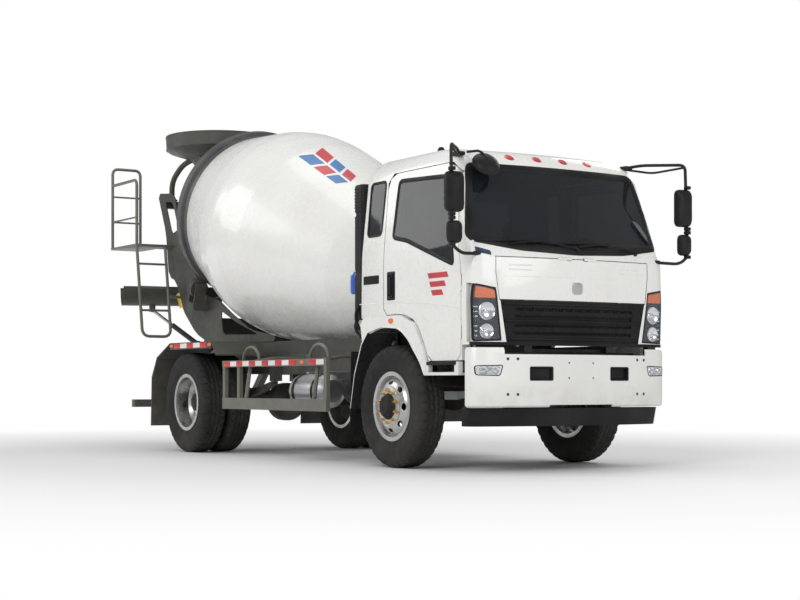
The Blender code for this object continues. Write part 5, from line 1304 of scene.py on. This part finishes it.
def seat(name, side):
    # A crowned cushion, backrest and headrest on a plain base.
    y0, y1 = side * 0.42, side * 0.76
    node = "driver_seat" if side > 0 else "passenger_seat"
    base = cushionShape((axleX - 0.33, y0, 1.37), (axleX + 0.11, y1, 1.515), 0.018, channels=3, channelAxis=1)
    cushion = buildPiece("seat_cushion_" + name, [base], "seatCloth", "cab", [node], smooth=60)
    back = cushionShape((-0.065, y0, -0.30), (0.065, y1, 0.30), 0.014, channels=3, channelAxis=1)
    lean = math.radians(9)
    points, faces = back
    turn = np.array([[math.cos(lean), 0, -math.sin(lean)], [0, 1, 0], [math.sin(lean), 0, math.cos(lean)]])
    backrest = buildPiece("seat_back_" + name, [(points @ turn.T + (axleX - 0.385, 0, 1.78), faces)],
                          "seatCloth", "cab", smooth=60)
    head = cushionShape((axleX - 0.49, side * 0.50, 2.07), (axleX - 0.395, side * 0.68, 2.245), 0.010)
    headrest = buildPiece("seat_headrest_" + name, [head], "seatCloth", "cab", smooth=60)
    frameParts = [block((axleX - 0.34, side * 0.45, 1.265), (axleX + 0.08, side * 0.73, 1.375), 0.02)]
    for y in (0.55, 0.63):
        frameParts.append(tubeAlong([(axleX - 0.44, side * y, 2.03), (axleX - 0.445, side * y, 2.12)], 0.006,
                                    10))
    buildPiece("seat_frame_" + name, frameParts, "blackPlastic", "cab")


for sideName, sideSign in sides.items():
    seat(sideName, sideSign)

wheelCentre = np.array((0.38 + axleX, 0.52, 1.72))
wheelAxis = np.array((-0.5, 0, 0.866))
wheelAcross, wheelUp = axisFrame(wheelAxis)[1:]
ringAngle = np.linspace(0, 2 * math.pi, 72, endpoint=False)[:, None]
ringPath = wheelCentre + 0.2145 * (np.cos(ringAngle) * wheelAcross + np.sin(ringAngle) * wheelUp)
spokeShapes = [tubeAlong(ringPath, 0.0138, 12, closed=True),
               spun([(0, -0.018), (0.05, -0.018), (0.055, 0.0), (0.05, 0.014), (0.03, 0.02), (0, 0.021)],
                    wheelCentre,
                    wheelAxis, 32)]
for k in range(3):
    a = 2 * math.pi * k / 3 + 0.5
    tip = wheelCentre + 0.208 * (math.cos(a) * wheelAcross + math.sin(a) * wheelUp)
    spokeShapes.append(tubeAlong(np.linspace(wheelCentre, tip, 8), np.linspace(0.018, 0.010, 8), 10))
buildPiece("steering_wheel_rim", spokeShapes, "blackPlastic", "hand_wheel", ["steering_wheel"])


def rearWindow():
    # A pane and its seal on the cab's flat rear wall.
    outline = evenOutline(roundedPath([(-0.62, 1.85), (0.62, 1.85), (0.62, 2.25), (-0.62, 2.25)], 0.05,
                                      closed=True), 96)
    surface = wallAcross(-0.556)
    outward = np.array((-1.0, 0, 0))
    buildPiece("rear_window_pane", [plateOn(outline, surface, outward, -0.006, -0.012)], "tintedGlass", "cab")
    grown = insetOutline(outline, -0.014)
    buildPiece("rear_window_seal", [bandOn(grown, insetOutline(grown, 0.034), surface, outward, sealSection)],
               "blackPlastic", "cab")


rearWindow()
print("cab inside made")

# Side guards, mudguards and tanks.

def stripBlocks(x0, x1, y, z0, z1, side, count, odd):
    # Every second block of an even row along x.
    edges = np.linspace(x0, x1, count + 1)
    return [block((edges[k] + axleX, y, z0), (edges[k + 1] + axleX, y + side * 0.003, z1), 0.001)
            for k in range(count) if k % 2 == odd]


guards = {
    # along x from the front axle
    "face": 1.0985,
    "tapeHeights": (0.826, 0.870),
    "tapeRuns": ((-2.76, -1.36, 11), (-1.13, -0.87, 2)),
    "mudguardFace": 1.1285,
    "mudguardTapeHeights": (1.012, 1.058),
    "mudguardTape": (-3.83, -3.08, 5),
    "sideLamps": ((-1.245, 0.848, 1.0985), (-3.015, 1.035, 1.1285), (-3.885, 1.035, 1.1285)),
    "arcs": ((-2.52, -2.20), (-1.25, -0.93)),
    "arcFoot": 0.875,
    "arcRise": 0.125,
    "arcAcross": 1.02,
}


def guardTrim(name, side):
    # Rows of tape blocks, side lamps, half-circle tubes and wavy mud flaps on one side.
    red, white = [], []
    for x0, x1, count in guards["tapeRuns"]:
        red += stripBlocks(x0, x1, side * guards["face"], *guards["tapeHeights"], side, count, 0)
        white += stripBlocks(x0, x1, side * guards["face"], *guards["tapeHeights"], side, count, 1)
    x0, x1, count = guards["mudguardTape"]
    y = side * guards["mudguardFace"]
    red += stripBlocks(x0, x1, y, *guards["mudguardTapeHeights"], side, count, 0)
    white += stripBlocks(x0, x1, y, *guards["mudguardTapeHeights"], side, count, 1)
    buildPiece("red_tape_" + name, red, "redTape", "chassis")
    buildPiece("white_tape_" + name, white, "whiteTape", "chassis")
    arcs = []
    turn = np.linspace(0, math.pi, 30)
    for first, last in guards["arcs"]:
        x = (first + last) / 2 - (last - first) / 2 * np.cos(turn) + axleX
        z = guards["arcFoot"] + guards["arcRise"] * np.sin(turn)
        arcs.append(tubeAlong(np.stack([x, np.full(30, side * guards["arcAcross"]), z], 1), 0.014, 12))
    buildPiece("guard_arcs_" + name, arcs, "guardPaint", "chassis")
    lamps = []
    for x, z, depth in guards["sideLamps"]:
        angle = np.linspace(0, 2 * math.pi, 32, endpoint=False)
        outline = np.stack([x + 0.038 * np.cos(angle), z + 0.017 * np.sin(angle)], 1)
        surface = wallAlong(side * depth)
        lamps.append(plateOn(outline, surface, np.array((0, side, 0.0)), 0.010, -0.002, edge=0.2))
    buildPiece("side_markers_" + name, lamps, "orangeLens", "chassis")
    flap = []
    x = np.linspace(0, 1, 12)
    y = side * np.linspace(0.62, 1.12, 10)
    zz, yy = np.meshgrid(np.linspace(0.245, 0.62, 14), y, indexing="ij")
    xx = rearAxleX - 0.805 + 0.004 * np.sin(yy * 40) + 0.02 * (zz - 0.24)
    outer = np.stack([xx, yy, zz], -1)
    flap.append(slabShape(outer, outer + (0.006, 0, 0)))
    zz, yy = np.meshgrid(np.linspace(0.30, 0.93, 18), side * np.linspace(0.60, 0.955, 10), indexing="ij")
    outer = np.stack([axleX - 0.665 - 0.03 * (0.93 - zz) + 0.004 * np.sin(yy * 34), yy, zz], -1)
    flap.append(slabShape(outer, outer + (0.008, 0, 0)))
    buildPiece("mud_flap_" + name, flap, "blackPlastic", "chassis")


for sideName, sideSign in sides.items():
    guardTrim(sideName, sideSign)


def chassisFittings():
    # Rear lamps, oil can, hoses, intake duct, blank label and tank straps.
    lamps, housings = [], []
    for side in (-1, 1):
        base = (axleX - 5.13, side * 0.62, 0.535)
        housings.append(block((base[0] - 0.028, base[1] - 0.17, 0.50),
                              (base[0] + 0.03, base[1] + 0.17, 0.60), 0.01))
        for k, finish in enumerate(("redLens", "orangeLens", "redLens")):
            y = base[1] + (k - 1) * 0.105
            lamps.append((finish, block((base[0] - 0.036, y - 0.048, 0.512),
                                        (base[0] - 0.022, y + 0.048, 0.590), 0.006)))
    buildPiece("rear_lamp_housings", housings, "blackPlastic", "chassis")
    for finish in ("redLens", "orangeLens"):
        buildPiece("rear_lamps_" + finish[:-4], [shape for kind, shape in lamps if kind == finish], finish,
                   "chassis")
    can = [(0, -0.10), (0.036, -0.10), (0.046, -0.092), (0.050, -0.075), (0.050, 0.045), (0.046, 0.06),
           (0.03, 0.07),
           (0.02, 0.09), (0, 0.092)]
    buildPiece("hydraulic_can", [spun(can, (axleX - 0.875, -0.78, 1.52), (0, 0, 1), 40)], "blueCan",
               "chassis")
    hoses = []
    routes = (
        [(-0.70, -0.80, 1.40), (-0.74, -0.86, 1.26), (-0.72, -0.84, 1.12), (-0.66, -0.72, 1.05),
         (-0.70, -0.50, 1.04)],
        [(-0.78, -0.72, 1.32), (-0.82, -0.82, 1.16), (-0.74, -0.80, 1.05), (-0.80, -0.60, 0.99),
         (-0.80, -0.46, 0.98)],
        [(-0.68, -0.78, 1.62), (-0.64, -0.84, 1.70), (-0.68, -0.82, 1.82), (-0.74, -0.76, 1.86)],
    )
    for route in routes:
        path = curveThrough(np.array(route) + (axleX, 0, 0), 40)
        hoses.append(tubeAlong(path, 0.014, 12))
    buildPiece("service_hoses", hoses, "blackPlastic", "chassis")
    section = roundedPath([(-0.82, -0.84), (-0.67, -0.84), (-0.67, -0.68), (-0.82, -0.68)], 0.035,
                          closed=True)
    section = evenOutline(section, 48)
    centre = section.mean(0)
    rows = []
    for share, z in ((0.02, 2.325), (0.85, 2.328), (0.98, 2.318), (1.0, 2.30), (1.0, 2.10), (0.90, 2.09),
                     (0.90, 2.07),
                     (1.0, 2.06), (1.0, 1.62), (0.93, 1.60), (0.93, 1.58), (1.0, 1.56), (1.0, 1.24),
                     (0.9, 1.20),
                     (0.02, 1.20)):
        flat = centre + (section - centre) * share
        rows.append(np.column_stack([flat[:, 0] + axleX, flat[:, 1], np.full(len(flat), z)]))
    duct = [gridShape(np.stack(rows))]
    for k in range(7):
        z = 2.13 + 0.026 * k
        duct.append(block((-0.803 + axleX, -0.844, z), (-0.687 + axleX, -0.838, z + 0.011), 0.002))
        duct.append(block((-0.671 + axleX, -0.823, z), (-0.665 + axleX, -0.697, z + 0.011), 0.002))
    duct.append(block((-0.80 + axleX, -0.70, 1.30), (-0.70 + axleX, -0.43, 1.36), 0.012))
    duct.append(block((-0.78 + axleX, -0.47, 0.93), (-0.72 + axleX, -0.43, 1.34), 0.008))
    buildPiece("air_intake_duct", duct, "blackPlastic", "chassis", ["air_intake"])
    label = []
    outline = np.array([(-5.30, 1.635), (-5.225, 1.655), (-5.135, 1.50), (-5.205, 1.475)]) + (0, 0.0)
    outer = evenOutline(roundedPath(outline, 0.01, closed=True), 48)
    for side in (-1, 1):
        surface = wallAlong(side * 0.4425)
        label.append(plateOn(outer, surface, np.array((0, side, 0.0)), 0.0015, -0.001))
    buildPiece("blank_label", label, "yellowLabel", "chassis")
    bands = []
    for x in (-1.70, -1.36):
        bands.append(spun([(0.1508, -0.018), (0.154, -0.016), (0.154, 0.016), (0.1508, 0.018)],
                          (x + axleX, -0.8, 0.6), (1, 0, 0), 48, closed=True))
    buildPiece("air_tank_straps", bands, "blackMetal", "chassis")


chassisFittings()
print("chassis trim made")

# Hopper, ladder and chute.

hopper = {
    "x": -5.1,
    "levels": (
        # shift along x, height, radius
        (0, 3.34, 0.6), (0, 3.20, 0.592), (0.006, 3.17, 0.56), (0.05, 3.1, 0.37), (0.10, 3.0, 0.29),
        (0.17, 2.85, 0.212), (0.3, 2.62, 0.17),
    ),
    "wall": 0.008,
    "ribs": 8,
}


def feedHopper():
    # Rings whose radius and centre are functions of height, outside and drawn in by the wall inside.
    x0 = hopper["x"] + axleX
    levels = np.array(hopper["levels"])
    angle = np.linspace(0, 2 * math.pi, 96, endpoint=False)

    def rings(wall):
        # The bowl's rings, drawn in by the wall.
        radius = levels[:, 2, None] - wall
        return np.stack([x0 + levels[:, 0, None] + radius * np.cos(angle), radius * np.sin(angle),
                         levels[:, 1, None] + 0 * angle], -1)

    skin = gridShape(np.concatenate([rings(0), rings(hopper["wall"])[::-1]]), closeU=True)
    lip = np.stack([x0 + 0.596 * np.cos(angle), 0.596 * np.sin(angle), 3.332 + 0 * angle], -1)
    shapes = [skin, tubeAlong(lip, 0.007, 10, closed=True)]
    seam = np.stack([x0 + 0.592 * np.cos(angle), 0.592 * np.sin(angle), 3.198 + 0 * angle], -1)
    shapes.append(tubeAlong(seam, 0.005, 8, closed=True))
    for k in range(hopper["ribs"]):
        a = 2 * math.pi * (k + 0.5) / hopper["ribs"]
        path = [(x0 + 0.05 * t + r * math.cos(a), r * math.sin(a), z)
                for t, r, z in ((0, 0.588, 3.20), (0.3, 0.50, 3.155), (1, 0.375, 3.10), (2, 0.295, 3.0))]
        shapes.append(tubeAlong(curveThrough(path, 16), 0.006, 8))
    for side in (-1, 1):
        path = roundedPath([(-5.6 + axleX, side * 0.36, 2.69), (-5.6 + axleX, side * 0.36, 2.9),
                            (-5.45 + axleX, side * 0.3, 3.07), (-5.3 + axleX, side * 0.22, 3.13)], 0.1, 8)
        shapes.append(tubeAlong(path, 0.030, 20))
        shapes.append(block((-5.68 + axleX, side * 0.36 - 0.05, 2.68),
                            (-5.56 + axleX, side * 0.36 + 0.05, 2.70), 0.003))
    buildPiece("hopper_bowl", shapes, "framePaint", "chassis", ["feed_hopper"])


platform = {
    "alongX": (-5.97, -5.26),
    "acrossY": (-0.93, -0.57),
    "deckHeight": 2.17,
    "tubeRadius": 0.016,
    "railRise": 0.868,
    "sideRise": 0.68,
    "footReach": 0.14,
    "footHeight": 1.17,
    "rungHeights": (1.45, 1.70, 1.95),
    "studs": (18, 9),
}


def ladder():
    # Tubes along rounded paths, rungs between the stiles, and a deck of raised studs turned left and right.
    x0, x1 = [x + axleX for x in platform["alongX"]]
    y0, y1 = platform["acrossY"]
    z, r = platform["deckHeight"], platform["tubeRadius"]
    footX, footZ = x1 + platform["footReach"], platform["footHeight"]
    top, middle = z + platform["railRise"], z + platform["sideRise"]
    hoop = [(x0 + r, y0 + r, z - 0.02), (x0 + r, y0 + r, top), (x0 + r, y1 - r, top),
            (x0 + r, y1 - r, z - 0.02)]
    side = [(x0 + r, y0 + r, middle), (x1 - r, y0 + r, middle), (x1 - r, y0 + r, z - 0.02)]
    stile = [(x1 - r, y0 + r, z - 0.02), (footX, y0 + r, footZ), (footX, y1 - r, footZ),
             (x1 - r, y1 - r, z - 0.02)]
    shapes = []
    for path, bend in ((hoop, 0.07), (side, 0.07), (stile, 0.09)):
        shapes.append(tubeAlong(roundedPath(path, bend, 8), r, 16))
    for level in (0.28, 0.56):
        shapes.append(tubeAlong([(x0 + r, y0 + r, z + level), (x0 + r, y1 - r, z + level)], 0.010, 12))
    shapes.append(tubeAlong([(x0 + r, y0 + r, z + 0.28), (x1 - r, y0 + r, z + 0.28)], 0.010, 12))
    for level in platform["rungHeights"]:
        t = (z - level) / (z - footZ)
        x = x1 - r + (footX - x1 + r) * t
        shapes.append(tubeAlong([(x, y0 + r, level), (x, y1 - r, level)], 0.012, 12))
    shapes.append(block((x0, y0, z - 0.03), (x1, y1, z - 0.004), 0.004))
    for i in range(platform["studs"][0]):
        for k in range(platform["studs"][1]):
            x, y = x0 + 0.03 + 0.038 * i, y0 + 0.03 + 0.0375 * k
            turn = 0.7 if (i + k) % 2 else -0.7
            stud = spun([(0, -0.002), (0.012, -0.002), (0.009, 0.002), (0, 0.003)], (0, 0, 0), (0, 0, 1),
                        8)[0]
            stretch = stud * (1, 0.35, 1)
            c, s = math.cos(turn), math.sin(turn)
            placed = stretch @ np.array([[c, s, 0], [-s, c, 0], [0, 0, 1]]) + (x, y, z - 0.003)
            shapes.append((placed, spun([(0, 0), (1, 0), (1, 1), (0, 1)], (0, 0, 0), (0, 0, 1), 8)[1]))
    reach = -0.4425
    for bx in (-5.46, -5.54):
        shapes.append(block((bx + axleX, y1 - 0.01, z - 0.03), (bx + 0.06 + axleX, reach, z + 0.01), 0.004))
    shapes.append(tubeAlong([(-5.18 + axleX, y1 - r, 1.6), (-5.18 + axleX, reach, 1.6)], 0.016, 12))
    buildPiece("ladder_and_deck", shapes, "guardPaint", "chassis", ["ladder_platform"])


trough = {
    "swingX": -5.42,
    "stowedAngle": -107.5,  # degrees
    "height": 1.72,
    "radius": 0.2,
    "wall": 0.006,
    "alongX": (-0.13, 0.95),
    "hoopsAt": (0.30, 0.944),
}


def chute():
    # A half tube: y = r sin(a) and z = height - r cos(a), carried along x, then turned to its stowed angle.
    swing = math.radians(trough["stowedAngle"])
    origin = np.array((trough["swingX"] + axleX, 0, 0))
    c, s = math.cos(swing), math.sin(swing)
    spin = np.array([[c, -s, 0], [s, c, 0], [0, 0, 1]])

    def placed(shape):
        # The shape turned about the swing axis.
        return shape[0] @ spin.T + origin, shape[1]

    z, r = trough["height"], trough["radius"]
    along = np.linspace(*trough["alongX"], 30)[:, None]
    angle = np.radians(np.linspace(-90, 90, 48))[None]
    outer = np.stack([along + 0 * angle, r * np.sin(angle) + 0 * along, z - r * np.cos(angle) + 0 * along],
                     -1)
    inside = r - trough["wall"]
    inner = np.stack([along + 0 * angle, inside * np.sin(angle) + 0 * along,
                      z - inside * np.cos(angle) + 0 * along], -1)
    shapes = [slabShape(outer, inner)]
    share = np.linspace(0, 1, 6)[:, None]
    end = np.stack([np.full((6, 48), -0.13), r * share * np.sin(angle), z - r * share * np.cos(angle)], -1)
    shapes.append(slabShape(end, end + (0.008, 0, 0)))
    for side in (-1, 1):
        shapes.append(tubeAlong([(-0.128, side * (r - 0.008), z - 0.004),
                                 (0.948, side * (r - 0.008), z - 0.004)], 0.0075, 10))
        shapes.append(tubeAlong([(0, side * 0.165, 1.62), (0, side * 0.2245, 1.62)], 0.015, 16))
        shapes.append(block((0.59, side * 0.032, 1.455), (0.65, side * 0.044, 1.53), 0.002))
    for x in trough["hoopsAt"]:
        bend = np.radians(np.linspace(-86, 86, 40))
        path = np.stack([np.full(40, x), (r - 0.003) * np.sin(bend), z - (r - 0.003) * np.cos(bend)], 1)
        shapes.append(tubeAlong(path, 0.0055, 8))
    shapes.append(tubeAlong([(0.62, -0.04, 1.475), (0.62, 0.04, 1.475)], 0.008, 12))
    buildPiece("chute_trough", [placed(shape) for shape in shapes], "framePaint", "chute",
               ["discharge_chute"])


feedHopper()
ladder()
chute()
print("rear works made")

# Floor.

def floorDisc():
    # Rings about the origin joined into one flat disc.
    radius = np.array([0.001, 4, 12, 25, studio["floorRadius"]])[:, None]
    angle = np.linspace(0, 2 * math.pi, 96, endpoint=False)[None]
    points = np.stack([radius * np.cos(angle), radius * np.sin(angle), 0 * radius * angle - 0.002], -1)
    verts, faces = gridShape(points)
    mesh = bpy.data.meshes.new("floor")
    mesh.from_pydata(verts.tolist(), [], [*faces, list(range(96))])
    material = bpy.data.materials.new("paleFloor")
    material.use_nodes = True
    tree = material.node_tree
    shader = tree.nodes["Principled BSDF"]
    noise = tree.nodes.new("ShaderNodeTexNoise")
    noise.inputs["Scale"].default_value = 3
    place = tree.nodes.new("ShaderNodeTexCoord")
    tree.links.new(place.outputs["Object"], noise.inputs["Vector"])
    spread = tree.nodes.new("ShaderNodeMapRange")
    spread.inputs["To Min"].default_value = 0.55
    spread.inputs["To Max"].default_value = 0.7
    tree.links.new(noise.outputs["Fac"], spread.inputs["Value"])
    tree.links.new(spread.outputs["Result"], shader.inputs["Roughness"])
    shader.inputs["Base Color"].default_value = (0.86, 0.86, 0.86, 1)
    # The floor fades to plain white with the distance from its middle, so that no horizon shows.
    length = tree.nodes.new("ShaderNodeVectorMath")
    length.operation = "LENGTH"
    tree.links.new(place.outputs["Object"], length.inputs[0])
    fade = tree.nodes.new("ShaderNodeMapRange")
    fade.inputs["From Min"].default_value, fade.inputs["From Max"].default_value = studio["floorFade"]
    tree.links.new(length.outputs["Value"], fade.inputs["Value"])
    white = tree.nodes.new("ShaderNodeEmission")
    blend = tree.nodes.new("ShaderNodeMixShader")
    tree.links.new(fade.outputs["Result"], blend.inputs[0])
    tree.links.new(shader.outputs[0], blend.inputs[1])
    tree.links.new(white.outputs[0], blend.inputs[2])
    tree.links.new(blend.outputs[0], tree.nodes["Material Output"].inputs["Surface"])
    mesh.materials.append(material)
    obj = bpy.data.objects.new("floor", mesh)
    scene.collection.objects.link(obj)


floorDisc()
